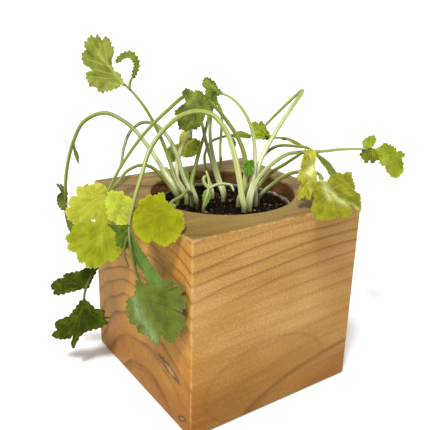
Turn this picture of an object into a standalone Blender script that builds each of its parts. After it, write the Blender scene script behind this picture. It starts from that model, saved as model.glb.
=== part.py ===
# Young coriander growing from a peat-filled cup in a wooden cube planter, at real size.
# The lengths below are in millimetres, and each mesh is scaled to metres as it is made.
# The origin is the centre of the cube's underside, +Z is up and -Y is the planter's front.

import math

import bmesh
import bpy
from mathutils import Vector, noise

MM = 0.001

# Planter
CUBE_SIDE = 100
CUBE_EDGE_ROUND = 1.6
BORE_RADIUS = 37
BORE_DEPTH = 80
BORE_SIDES = 56

# Cup inside the bore
FIT_GAP = 0.3
CUP_RIM_Z = 92.8
CUP_RIM_RADIUS = 35.6
CUP_FOOT_RADIUS = 32.0
CUP_WALL = 1.4
CUP_SIDES = 48

# Soil inside the cup
SOIL_TOP_Z = 91
SOIL_BUMP = 0.6
SOIL_BUMP_SIZE = 4.5
SOIL_RINGS = 7
SOIL_SIDES = CUP_SIDES

# Stems and blades
ROOT_DEPTH = 6
STRAIGHT_RISE = 0.8
LEAN_RISE = 2.6
HOLE_GAP = 0.35
HOLE_SIDES = 10
CURVE_STEPS = 8
LONGEST_RUN = 11
SHARPEST_TURN = math.radians(15)
BLADE_THICKNESS = 0.8
RING_SHARES = (0.5, 1.0)

GREENS = {
    "pale": (0.62, 0.70, 0.36),
    "olive": (0.36, 0.45, 0.10),
    "yellow": (0.62, 0.66, 0.05),
    "leaf": (0.16, 0.34, 0.06),
    "dark": (0.07, 0.15, 0.03),
    "fresh": (0.34, 0.50, 0.04),
}


# ---- scene and mesh helpers


def clear_scene():
    for old in list(bpy.data.objects):
        bpy.data.objects.remove(old, do_unlink=True)


def make_collection(name):
    collection = bpy.data.collections.new(name)
    bpy.context.scene.collection.children.link(collection)
    return collection


def make_material(name, colour, roughness):
    material = bpy.data.materials.new(name)
    material.use_nodes = True
    shader = material.node_tree.nodes["Principled BSDF"]
    shader.inputs["Base Color"].default_value = (*colour, 1)
    shader.inputs["Roughness"].default_value = roughness
    shader.inputs["Metallic"].default_value = 0
    return material


def add_object(name, data, collection):
    obj = bpy.data.objects.new(name, data)
    collection.objects.link(obj)
    return obj


def move_to(obj, collection):
    for holder in list(obj.users_collection):
        holder.objects.unlink(obj)
    collection.objects.link(obj)


def mesh_from_bmesh(name, bm, collection):
    mesh = bpy.data.meshes.new(name)
    bm.to_mesh(mesh)
    bm.free()
    return add_object(name, mesh, collection)


def freeze(obj, collection):
    """The object with its modifiers applied, or the curve as a mesh."""
    bpy.context.view_layer.update()
    evaluated = obj.evaluated_get(bpy.context.evaluated_depsgraph_get())
    mesh = bpy.data.meshes.new_from_object(evaluated)
    name, place = obj.name, obj.matrix_world.copy()
    bpy.data.objects.remove(obj, do_unlink=True)
    frozen = add_object(name, mesh, collection)
    frozen.matrix_world = place
    return frozen


def finish_node(obj, material, smooth=True):
    obj.data.materials.clear()
    obj.data.materials.append(material)
    if smooth:
        obj.data.shade_smooth()
        obj.data.set_sharp_from_angle(angle=math.radians(40))


def boolean(obj, others, operation, solver="EXACT"):
    change = obj.modifiers.new(operation.lower(), "BOOLEAN")
    change.operation = operation
    change.operand_type = "COLLECTION"
    change.collection = others
    change.solver = solver


# ---- planter, cup and soil


def build_planter(material):
    bpy.ops.mesh.primitive_cube_add(size=CUBE_SIDE * MM, location=(0, 0, CUBE_SIDE / 2 * MM))
    cube = bpy.context.object
    cube.name = "wood_cube"
    move_to(cube, planter_parts)
    rounding = cube.modifiers.new("rounding", "BEVEL")
    rounding.width = CUBE_EDGE_ROUND * MM
    rounding.segments = 2
    bore_top = CUBE_SIDE + 5
    bore_floor = CUBE_SIDE - BORE_DEPTH
    bpy.ops.mesh.primitive_cylinder_add(
        vertices=BORE_SIDES,
        radius=BORE_RADIUS * MM,
        depth=(bore_top - bore_floor) * MM,
        location=(0, 0, (bore_top + bore_floor) / 2 * MM),
    )
    bore = bpy.context.object
    bore.name = "bore_cutter"
    bore.hide_render = True
    bore.display_type = "WIRE"
    bore_cutters = make_collection("bore_cutters")
    move_to(bore, bore_cutters)
    boolean(cube, bore_cutters, "DIFFERENCE")
    finish_node(cube, material)


def turned(name, profile, sides, collection):
    """A solid turned about Z from (radius, height) points that run down its outer side first."""
    bm = bmesh.new()
    corners = [bm.verts.new((radius * MM, 0, height * MM)) for radius, height in profile]
    for here, after in zip(corners, corners[1:]):
        if here.co.x > 0 or after.co.x > 0:
            bm.edges.new((here, after))
    if profile[0][0] > 0 and profile[-1][0] > 0:
        bm.edges.new((corners[-1], corners[0]))
    solid = mesh_from_bmesh(name, bm, collection)
    turn = solid.modifiers.new("turn", "SCREW")
    turn.axis = "Z"
    turn.steps = sides
    turn.render_steps = sides
    turn.use_merge_vertices = True
    turn.merge_threshold = 0.00005
    return freeze(solid, collection)


def build_cup(material):
    foot = CUBE_SIDE - BORE_DEPTH + FIT_GAP
    profile = [
        (CUP_RIM_RADIUS, CUP_RIM_Z),
        (CUP_FOOT_RADIUS, foot),
        (0, foot),
        (0, foot + CUP_WALL),
        (CUP_FOOT_RADIUS - CUP_WALL, foot + CUP_WALL),
        (CUP_RIM_RADIUS - CUP_WALL, CUP_RIM_Z),
    ]
    cup = turned("liner_cup", profile, CUP_SIDES, planter_parts)
    finish_node(cup, material)


def build_soil(material, roots):
    foot = CUBE_SIDE - BORE_DEPTH + 2 * FIT_GAP + CUP_WALL
    inset = CUP_WALL + FIT_GAP + 0.05
    rim_radius = CUP_RIM_RADIUS - inset - (CUP_RIM_RADIUS - CUP_FOOT_RADIUS) * 0.05
    foot_radius = CUP_FOOT_RADIUS - inset
    top = [(rim_radius * ring / SOIL_RINGS, SOIL_TOP_Z) for ring in range(SOIL_RINGS + 1)]
    soil = turned("soil", top + [(foot_radius, foot), (0, foot)], SOIL_SIDES, planter_parts)
    for vertex in soil.data.vertices:
        radius = math.hypot(vertex.co.x, vertex.co.y) / MM
        if vertex.co.z > (SOIL_TOP_Z - 1) * MM and radius < rim_radius - 1:
            lift = noise.noise(vertex.co / (SOIL_BUMP_SIZE * MM))
            vertex.co.z += SOIL_BUMP * lift * MM
    bm = bmesh.new()
    bm.from_mesh(soil.data)
    bmesh.ops.triangulate(bm, faces=bm.faces)
    bmesh.ops.recalc_face_normals(bm, faces=bm.faces)
    bm.to_mesh(soil.data)
    bm.free()
    holes = make_collection("root_hole_cutters")
    hole_foot = SOIL_TOP_Z - ROOT_DEPTH - HOLE_GAP
    hole_top = SOIL_TOP_Z + 4
    for number, (x, y, radius) in enumerate(roots):
        bpy.ops.mesh.primitive_cylinder_add(
            vertices=HOLE_SIDES,
            radius=(radius + HOLE_GAP) / math.cos(math.pi / HOLE_SIDES) * MM,
            depth=(hole_top - hole_foot) * MM,
            location=(x * MM, y * MM, (hole_top + hole_foot) / 2 * MM),
        )
        hole = bpy.context.object
        hole.name = f"root_hole_{number + 1:02d}"
        hole.hide_render = True
        hole.display_type = "WIRE"
        move_to(hole, holes)
    boolean(soil, holes, "DIFFERENCE")
    finish_node(soil, material, smooth=False)


# ---- stems


def smooth_route(points):
    """Points on a smooth curve through the given ones, closer together where it turns."""
    knots = [Vector(point) for point in points]
    lengths = [(b - a).length for a, b in zip(knots, knots[1:])]
    headings = [(b - a) / length for a, b, length in zip(knots, knots[1:], lengths)]
    slopes = [headings[0]]
    for index in range(1, len(knots) - 1):
        before, after = lengths[index - 1], lengths[index]
        mixed = headings[index - 1] * after + headings[index] * before
        slopes.append(mixed / (before + after))
    slopes.append(headings[-1])
    dense = []
    for index, length in enumerate(lengths):
        b, c = knots[index], knots[index + 1]
        leave, arrive = slopes[index] * length, slopes[index + 1] * length
        for step in range(CURVE_STEPS):
            t = step / CURVE_STEPS
            dense.append(
                b * (2 * t**3 - 3 * t**2 + 1) + leave * (t**3 - 2 * t**2 + t)
                + c * (3 * t**2 - 2 * t**3) + arrive * (t**3 - t**2)
            )
    dense.append(knots[-1])
    kept = [dense[0]]
    turned_by = 0
    for before, here, after in zip(dense, dense[1:], dense[2:]):
        turned_by += (here - before).angle(after - here, 0)
        if turned_by > SHARPEST_TURN or (here - kept[-1]).length > LONGEST_RUN:
            kept.append(here)
            turned_by = 0
    if (dense[-1] - kept[-1]).length < 0.8:
        kept.pop()
    return kept + [dense[-1]]


def stalk(points, width_from, width_to, collection):
    """A round stalk along the points, its diameter changing evenly from one end to the other."""
    route = smooth_route(points)
    runs = [(b - a).length for a, b in zip(route, route[1:])]
    curve = bpy.data.curves.new("stalk", "CURVE")
    curve.dimensions = "3D"
    curve.bevel_depth = MM
    curve.bevel_resolution = 1
    curve.use_fill_caps = True
    spline = curve.splines.new("POLY")
    spline.points.add(len(route) - 1)
    for index, place in enumerate(route):
        share = sum(runs[:index]) / sum(runs)
        spline.points[index].co = (*(place * MM), 1)
        spline.points[index].radius = (width_from + (width_to - width_from) * share) / 2
    made = freeze(add_object("stalk", curve, collection), collection)
    bm = bmesh.new()
    bm.from_mesh(made.data)
    bmesh.ops.remove_doubles(bm, verts=bm.verts, dist=0.00001)
    bm.to_mesh(made.data)
    bm.free()
    return made


# ---- blades


def blade_axes(tip, facing):
    normal = Vector(facing).normalized()
    forward = Vector(tip)
    forward = (forward - normal * forward.dot(normal)).normalized()
    return forward, normal.cross(forward), normal


def thicken(obj):
    wall = obj.modifiers.new("wall", "SOLIDIFY")
    wall.thickness = BLADE_THICKNESS * MM
    wall.offset = 0


def reach(lobes, web, angle):
    """How far the outline lies from the hub at an angle, as the longest of its rounded lobes."""
    longest = web
    for centre, length, half_width in lobes:
        off = (angle - centre + 180) % 360 - 180
        if abs(off) < half_width:
            longest = max(longest, length * (1 - (off / half_width) ** 2) ** 0.35)
    return longest


def outline_angles(lobes, samples):
    """Evenly spread angles, with the nearest one moved onto the middle of each lobe."""
    angles = [-180 + 360 * index / samples for index in range(samples)]
    for centre, _, _ in lobes:
        nearest = round((centre + 180) * samples / 360) % samples
        angles[nearest] = centre
    return angles


def fan_blade(collection, hub, tip, facing, lobes, web=0.5, teeth=17, notch=0.05, droop=0.1,
              arch=0.1, samples=32):
    """A lobed blade about a hub: each lobe is (angle from the tip in degrees, length, half-width
    in degrees), and web is how deep the cuts between them reach, as a share of the longest lobe.
    Droop bends the far end back from the face, and arch bends both sides back."""
    forward, side, normal = blade_axes(tip, facing)
    scale = max(length for _, length, _ in lobes)
    angles = outline_angles(lobes, samples)
    bm = bmesh.new()
    rings = []
    for share in RING_SHARES:
        made = bmesh.ops.create_circle(bm, segments=samples, radius=share, cap_ends=False)
        rings.append(made["verts"])
    bmesh.ops.bridge_loops(bm, edges=bm.edges)
    for vertex in bm.verts:
        turn = math.atan2(vertex.co.y, vertex.co.x) / (2 * math.pi) + 0.5
        angle = angles[round(turn * samples) % samples]
        far = reach(lobes, web * scale, angle) * (1 + notch * math.cos(math.radians(teeth * angle)))
        x = vertex.co.length * far * math.cos(math.radians(angle))
        y = vertex.co.length * far * math.sin(math.radians(angle))
        z = -droop * max(x, 0) ** 2 / scale - arch * y**2 / scale
        vertex.co = (Vector(hub) + forward * x + side * y + normal * z) * MM
    bmesh.ops.contextual_create(bm, geom=rings[0])
    bmesh.ops.triangulate(bm, faces=bm.faces)
    blade = mesh_from_bmesh("blade", bm, collection)
    thicken(blade)
    return freeze(blade, collection)


def ribbon_blade(collection, points, width, facing, base=0.5, end=0.4, arch=0.2, teeth=5,
                 notch=0.1, steps=10):
    """A long narrow blade along the points: base and end are its half-widths there, as shares of
    the widest, and arch bends both margins back from the face."""
    route = smooth_route(points)
    runs = [0]
    for a, b in zip(route, route[1:]):
        runs.append(runs[-1] + (b - a).length)
    bm = bmesh.new()
    bmesh.ops.create_grid(bm, x_segments=steps, y_segments=2, size=1)
    bmesh.ops.triangulate(bm, faces=bm.faces)
    for vertex in bm.verts:
        share = (vertex.co.x + 1) / 2
        across = vertex.co.y
        here, ahead = point_along(route, runs, share), point_along(route, runs, share + 0.02)
        behind = point_along(route, runs, share - 0.02)
        forward, side, normal = blade_axes(ahead - behind, facing)
        taper = base + (1 - base) * math.sin(math.pi * min(share / 0.6, 1) / 2)
        if share > 0.6:
            taper = end + (1 - end) * math.cos(math.pi * (share - 0.6) / 0.8)
        half = width / 2 * taper * (1 + notch * math.cos(2 * math.pi * teeth * share))
        back = -arch * abs(across) ** 1.5 * half
        vertex.co = (here + side * across * half + normal * back) * MM
    blade = mesh_from_bmesh("ribbon", bm, collection)
    thicken(blade)
    return freeze(blade, collection)


def point_along(route, runs, share):
    """The point at a share of a route's length; past either end it goes straight on."""
    target = share * runs[-1]
    index = 0
    while index < len(route) - 2 and runs[index + 1] < target:
        index += 1
    local = (target - runs[index]) / (runs[index + 1] - runs[index])
    return route[index].lerp(route[index + 1], local)


# ---- leafy stems


def drop_scraps(mesh):
    """Leaves only the largest connected piece of a mesh."""
    bm = bmesh.new()
    bm.from_mesh(mesh)
    unseen = set(bm.verts)
    groups = []
    while unseen:
        front = [unseen.pop()]
        group = list(front)
        while front:
            for edge in front.pop().link_edges:
                fresh = [vertex for vertex in edge.verts if vertex in unseen]
                unseen.difference_update(fresh)
                front += fresh
                group += fresh
        groups.append(group)
    groups.sort(key=len)
    for group in groups[:-1]:
        bmesh.ops.delete(bm, geom=group, context="VERTS")
    bm.to_mesh(mesh)
    bm.free()


def fuse(name, pieces, material):
    """One solid, made of the first piece joined with the others."""
    trunk, others = pieces[0], pieces[1:]
    joined = trunk
    if others:
        group = make_collection(name + "_pieces")
        for piece in others:
            move_to(piece, group)
        boolean(trunk, group, "UNION", "MANIFOLD")
        joined = freeze(trunk, working)
        drop_scraps(joined.data)
        for piece in list(group.objects):
            bpy.data.objects.remove(piece, do_unlink=True)
        bpy.data.collections.remove(group)
    move_to(joined, plant_parts)
    joined.name = name
    joined.data.name = name
    finish_node(joined, material)


def leafy_stem(name, green, root, route, widths, stalks=(), fans=(), ribbons=()):
    """A stem that stands in the soil at root (x, y) and passes through route, with its side
    stalks (points, width from, width to), fan blades and ribbon blades fused to it."""
    heights = (-ROOT_DEPTH, STRAIGHT_RISE, LEAN_RISE)
    upright = [(*root, SOIL_TOP_Z + height) for height in heights]
    pieces = [stalk(upright + route, *widths, working)]
    pieces += [stalk(*branch, working) for branch in stalks]
    pieces += [fan_blade(working, **fan) for fan in fans]
    pieces += [ribbon_blade(working, **ribbon) for ribbon in ribbons]
    fuse(name, pieces, make_material(name + "_green", GREENS[green], 0.55))
    roots.append((*root, widths[0] / 2))


def build_left_leaves():
    leafy_stem(
        "leaf_top_left", "olive", (-14.5, 11.5),
        [(-19, 14.5, 103.5), (-20, 20, 114), (-22.5, 28, 128.5), (-26, 35, 139.5),
         (-33, 45, 150.5), (-39.5, 54, 161)],
        (2.7, 1.2),
        stalks=[([(-31, 42, 148), (-30, 43, 151), (-28.5, 43, 154)], 1.6, 1.2)],
        fans=[dict(hub=(-39.5, 54, 161), tip=(-0.14, 0.37, 0.92), facing=(-0.64, -0.74, 0.21),
                   lobes=[(-155, 16, 16), (-37, 12, 22), (0, 14.5, 22), (54, 11.5, 22),
                          (120, 12, 24), (158, 15, 26)],
                   web=0.42, droop=0.15, arch=0.12, samples=40)],
        ribbons=[dict(points=[(-28.5, 43, 153), (-27.5, 42, 156.5), (-26.5, 42, 161),
                              (-28, 45, 165), (-31, 49, 164), (-33.5, 51, 160.5)],
                      width=4.5, facing=(-0.75, 0.6, 0.2), base=0.4, arch=0.35)],
    )
    leafy_stem(
        "leaf_left_arch", "dark", (-16, 17.5),
        [(-19.5, 26.5, 106), (-24, 36, 118.5), (-31.5, 46, 130), (-40, 54, 134.5),
         (-49.5, 59, 130), (-56.5, 59, 119), (-61, 56.5, 109), (-65, 52, 95), (-66.5, 47, 80),
         (-63, 39, 66), (-60, 33, 56), (-65, 31, 47), (-67.5, 30.5, 40), (-69, 31, 31)],
        (2.7, 1.3),
        stalks=[([(-62.5, 31.7, 51.5), (-66, 34.5, 50.8), (-69, 37, 50)], 1.6, 1.2)],
        fans=[dict(hub=(-66.3, 50.6, 89.5), tip=(-0.08, 0.42, 0.9), facing=(-0.56, -0.77, 0.31),
                   lobes=[(0, 11.5, 16), (74, 3.5, 40), (157, 5.5, 45), (-110, 4.5, 50)],
                   web=0.2, teeth=12, samples=20),
              dict(hub=(-69, 37, 50), tip=(-0.79, 0.53, -0.31), facing=(-0.61, -0.71, 0.35),
                   lobes=[(-175, 7.5, 30), (-131, 6.5, 35), (-61, 6.5, 40), (0, 13, 28),
                          (24, 11.5, 24), (106, 5.5, 35)],
                   web=0.4, droop=0.25, arch=0.15),
              dict(hub=(-69, 31, 31), tip=(-0.37, -0.08, -0.93), facing=(-0.62, -0.72, 0.31),
                   lobes=[(-177, 9, 14), (-107, 6.5, 30), (-58, 14.5, 14), (-45, 17.5, 15),
                          (-31, 17.5, 18), (0, 16, 10), (57, 8.5, 30), (92, 13, 16),
                          (106, 16, 12), (124, 15, 12)],
                   web=0.33, teeth=20, droop=0.2, arch=0.18, samples=40)],
        ribbons=[dict(points=[(-57, 58.5, 120), (-57.5, 55.5, 115), (-57, 52, 109.5)],
                      width=4, facing=(-0.75, 0.3, 0.5), arch=0.5),
                 dict(points=[(-66.5, 47, 82), (-65.5, 44, 77), (-64, 42, 72.5)],
                      width=4.5, facing=(-0.6, -0.7, 0.35), arch=0.4)],
    )
    leafy_stem(
        "leaf_left_yellow", "yellow", (-12, 16),
        [(-14, 22.5, 103), (-11, 26, 112.5), (-3.5, 28, 125), (1.5, 29, 138), (-1.5, 27.5, 145),
         (-9, 24.5, 145), (-17.5, 22, 141), (-32, 22, 130), (-43.5, 21.5, 118),
         (-52, 19.5, 108), (-57, 17, 101), (-60, 16, 93), (-65.5, 15.5, 79.5)],
        (2.8, 1.2),
        stalks=[([(-56.5, 17.5, 102.5), (-60, 20, 99.5), (-63.5, 26, 95.5)], 1.5, 1.0)],
        fans=[dict(hub=(-63.5, 26.5, 95.5), tip=(-0.72, 0.68, -0.13),
                   facing=(-0.65, -0.6, 0.45),
                   lobes=[(-146, 10, 30), (-105, 9.5, 30), (-53, 9, 30), (0, 10.5, 30),
                          (46, 11.5, 30), (94, 9, 35), (169, 8.5, 35)],
                   droop=0.15, arch=0.1, samples=40),
              dict(hub=(-65.5, 15.5, 79.5), tip=(-0.26, -0.32, -0.91),
                   facing=(-0.73, -0.56, 0.4),
                   lobes=[(-122, 12, 26), (-85, 15, 28), (-36, 12.5, 24), (0, 12.5, 26),
                          (49, 14, 24), (78, 15, 26), (125, 11.5, 26), (161, 12, 22)],
                   droop=0.12, arch=0.12, samples=40)],
    )
    leafy_stem(
        "leaf_left_back", "yellow", (-10.5, 12.5),
        [(-12.5, 18.5, 105), (-13, 24, 115), (-14, 33.5, 124), (-16.5, 41.5, 128.5),
         (-20.5, 48.5, 128.5), (-25.5, 52, 124), (-31.5, 49, 116), (-38, 40, 109),
         (-49, 31, 104)],
        (2.6, 1.2),
        fans=[dict(hub=(-49, 31, 103.7), tip=(-0.75, -0.3, -0.55), facing=(-0.45, -0.3, 0.85),
                   lobes=[(-150, 5, 40), (-70, 5.5, 38), (0, 6, 38), (70, 5.5, 38), (150, 5, 40)],
                   teeth=12, samples=20)],
    )
    leafy_stem(
        "leaf_left_low", "yellow", (-19, 13.5),
        [(-22, 13, 99.5), (-26.5, 15.5, 106.5), (-32, 18, 112.5), (-37, 18.5, 114),
         (-42, 17.5, 112), (-47.5, 14.5, 107), (-51.5, 9.5, 103.2), (-53.8, 5.5, 100.3),
         (-56, 3.8, 99.3)],
        (2.3, 1.2),
        fans=[dict(hub=(-55.5, 4, 99.5), tip=(0.36, -0.88, 0.31), facing=(-0.88, -0.2, 0.44),
                   lobes=[(-170, 8.5, 35), (-98, 7.5, 32), (-41, 9.5, 32), (0, 9, 32),
                          (44, 7.5, 30), (101, 8, 32), (143, 11, 30)],
                   droop=0.1, arch=0.1)],
    )
    leafy_stem(
        "leaf_front_arch", "leaf", (4, -14),
        [(4, -12, 97.5), (4, -9, 107), (3, -5.5, 119), (-0.5, -1, 132.5), (-5.5, 2.5, 139),
         (-13, 5, 141), (-21.5, 7, 139), (-31, 7, 133), (-39, 5.5, 125), (-46.5, 0.5, 114),
         (-52.5, -3.5, 104.5), (-57.5, -8, 95.5), (-60, -13, 89.5), (-61, -18, 82),
         (-61, -23, 75), (-58.5, -31, 66)],
        (3.2, 1.3),
        stalks=[([(-60.5, -12, 91), (-62.5, -12, 84), (-62, -15, 77)], 1.4, 0.9)],
        fans=[dict(hub=(-61, -9, 90.5), tip=(-0.57, 0.69, 0.45), facing=(-0.66, -0.71, 0.25),
                   lobes=[(-88, 6, 26), (0, 9, 16), (24, 6.5, 14), (63, 5, 24), (121, 6, 30),
                          (162, 7, 35)],
                   teeth=14, samples=24),
              dict(hub=(-58, -33, 64), tip=(-0.08, -0.17, -0.98), facing=(-0.95, -0.27, 0.12),
                   lobes=[(-165, 11, 22), (-132, 14.5, 16), (-84, 18.5, 22), (-59, 19.5, 20),
                          (-31, 17, 18), (0, 17.5, 15), (21, 16, 15), (51, 16.5, 16),
                          (75, 18, 15), (99, 18.5, 15), (117, 19, 14), (139, 19, 18)],
                   teeth=30, notch=0.04, droop=-0.05, arch=0.06, samples=44)],
        ribbons=[dict(points=[(-58.8, -8.6, 94.6), (-59.5, -14, 88), (-59, -21, 82), (-58, -28, 78),
                              (-56, -36, 75.5)],
                      width=7.5, facing=(-0.95, -0.27, 0.12), base=0.35, end=0.6, teeth=6)],
    )
    leafy_stem(
        "leaf_front_yellow", "yellow", (-14.5, 6.5),
        [(-15, 6, 98), (-19.5, 2, 102), (-31, -10, 104.5), (-44, -22, 106.5),
         (-51, -28, 105.5), (-55, -30.5, 104)],
        (2.2, 1.2),
        fans=[dict(hub=(-55.3, -30.7, 104), tip=(-0.66, -0.4, -0.64), facing=(-0.5, -0.4, 0.77),
                   lobes=[(-169, 13, 26), (-133, 12, 28), (-92, 12, 28), (-46, 10, 24),
                          (1, 12, 24), (40, 14.5, 24), (64, 13.5, 22), (97, 12, 26),
                          (138, 10.5, 22), (158, 8, 20)],
                   teeth=26, notch=0.035, droop=0.1, arch=0.12, samples=44)],
    )
    leafy_stem("cut_stem", "pale", (-12.5, 21), [(-14.5, 25, 98), (-16, 31, 107)], (2.6, 2.2))
    leafy_stem(
        "leaf_bud", "leaf", (-8.5, 17), [(-9, 19.5, 97), (-8.5, 22, 101)], (1.8, 1.2),
        ribbons=[dict(points=[(-9, 19, 96), (-8.5, 22, 101), (-7.5, 24.5, 106.5)], width=3.4,
                      facing=(-0.6, -0.7, 0.3), end=0.2, arch=0.5)],
    )


def build_centre_leaves():
    leafy_stem(
        "leaf_centre_umbrella", "leaf", (6.5, -5.5),
        [(9, -6.5, 103), (12, -3, 114), (12, 3.5, 124.5), (9, 9, 132.5), (3, 12.5, 140.7),
         (-2, 15, 146.7), (-6, 15, 147.2), (-9, 14, 141.8)],
        (3, 1.5),
        stalks=[([(11.5, -4, 112), (11, -6.5, 113.5), (10.3, -8, 113)], 1.4, 1.0)],
        fans=[dict(hub=(-9, 14, 140.3), tip=(-0.52, -0.3, -0.8), facing=(-0.45, -0.7, 0.55),
                   lobes=[(-137, 11.5, 26), (-70, 9, 28), (-21, 12, 22), (0, 12.5, 20),
                          (22, 11.5, 24), (68, 8.5, 28), (123, 9, 30), (172, 10, 30)],
                   teeth=24, droop=0.2, arch=0.3, samples=40),
              dict(hub=(10.3, -8, 113), tip=(-0.29, -0.35, -0.89), facing=(-0.4, -0.8, 0.45),
                   lobes=[(-141, 3.5, 34), (-45, 3, 34), (0, 4.7, 30), (71, 3, 34),
                          (151, 4, 34)],
                   teeth=10, samples=16)],
    )
    leafy_stem(
        "leaf_centre_top", "fresh", (9.5, -9.5),
        [(13, -8.5, 105), (16.5, -5, 116), (18.5, 0, 127), (18.5, 7, 136.5), (16.5, 13.5, 142.5),
         (14, 19, 146), (11, 23, 147), (8, 24, 146.5)],
        (2.8, 1.2),
        fans=[dict(hub=(8, 24, 146.5), tip=(0.1, 0.53, 0.84), facing=(-0.5, -0.7, 0.5),
                   lobes=[(-175, 9.5, 26), (-110, 5, 32), (-16, 8, 26), (17, 8.5, 28),
                          (62, 5, 28), (148, 6.5, 32)],
                   teeth=16, droop=0.3, arch=0.4, samples=28)],
    )
    leafy_stem(
        "leaf_centre_back", "olive", (5, 6),
        [(5, 10.5, 100), (4.5, 16.5, 110), (4, 22, 120), (4.5, 27, 129), (5, 32, 134.5),
         (4.5, 36, 132), (3, 35.5, 124), (1.5, 34, 116)],
        (2.6, 1.2),
        stalks=[([(2.5, 35, 121), (-3, 38, 117.5), (-8, 39, 113)], 1.2, 1.0)],
        fans=[dict(hub=(1.5, 34, 115.5), tip=(0.79, -0.55, -0.27), facing=(-0.4, -0.8, 0.45),
                   lobes=[(-176, 5.5, 32), (-112, 7.5, 30), (-74, 9, 34), (-32, 7.5, 28),
                          (17, 6.5, 28), (74, 5.5, 30), (129, 5.5, 30)],
                   droop=0.15, arch=0.15, samples=28),
              dict(hub=(-8, 39, 112), tip=(-0.34, -0.33, -0.88), facing=(-0.4, -0.8, 0.45),
                   lobes=[(-159, 5, 34), (-60, 3.5, 40), (10, 5.5, 34), (100, 3, 40)],
                   teeth=10, samples=16)],
    )
    leafy_stem(
        "leaf_centre_left", "olive", (-10.5, 8.5),
        [(-11, 12.5, 101), (-7, 15.5, 109.5), (-2.5, 18, 118), (2.5, 21, 126), (7, 25, 133),
         (10.5, 29.8, 139.2)],
        (2.6, 1.2),
        fans=[dict(hub=(10.5, 30, 139.5), tip=(0.2, 0.7, 0.6), facing=(-0.5, -0.6, 0.6),
                   lobes=[(-150, 4, 40), (-65, 5, 36), (0, 6, 36), (65, 5, 36), (150, 4, 40)],
                   teeth=12, samples=24)],
    )
    leafy_stem(
        "leaf_centre_loop", "pale", (8.5, 10),
        [(9, 15.5, 100), (9, 21, 109), (10, 26.5, 119), (12.5, 31, 129), (15.5, 33.5, 136),
         (19, 35, 138.5), (21.5, 34.5, 135), (20.5, 31.5, 125), (17.5, 28, 114.5),
         (16.5, 26, 108.5)],
        (2.3, 1.4),
        ribbons=[dict(points=[(17, 27, 111), (16, 25, 106), (14.5, 24, 101.5)], width=4,
                      facing=(-0.4, -0.7, 0.4), end=0.3, arch=0.4)],
    )
    leafy_stem(
        "leaf_back_branch", "olive", (2, 11.5),
        [(5, 21, 101), (10, 32, 111), (17, 36, 116.5), (24, 35, 118.5), (31, 33, 119.5)],
        (1.9, 1.3),
        ribbons=[dict(points=[(25, 35, 119), (21, 32, 115), (19.5, 30, 110.5)], width=4,
                      facing=(-0.5, -0.8, 0.3), end=0.3, arch=0.4),
                 dict(points=[(29, 33.5, 119), (35, 31, 120), (41, 30, 118)], width=5,
                      facing=(-0.2, -0.6, 0.75), end=0.4, arch=0.3)],
    )
    leafy_stem(
        "seedling", "pale", (-13.5, -3),
        [(-12.5, -2.5, 96), (-10.5, -2, 100.5), (-9, -0.5, 103), (-8, 1, 106), (-8, 3.5, 110.5)],
        (1.6, 0.8),
        stalks=[([(-9, -0.8, 102.5), (-5, -1.5, 104), (-1.5, -3.5, 104.5), (1, -6, 104),
                  (1, -8.5, 101.5)], 1.2, 0.9),
                ([(-9, -0.5, 102.5), (-10.5, 1, 105), (-10.5, 2, 107.5), (-9.3, 2, 108.7)],
                 1.5, 0.9)],
        ribbons=[dict(points=[(-13, -3, 94.5), (-11.5, -2.3, 98.5), (-9.5, -1, 102.5)], width=3.6,
                      facing=(-0.6, -0.75, 0.3), base=0.3, end=0.4, notch=0.05)],
    )


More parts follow.
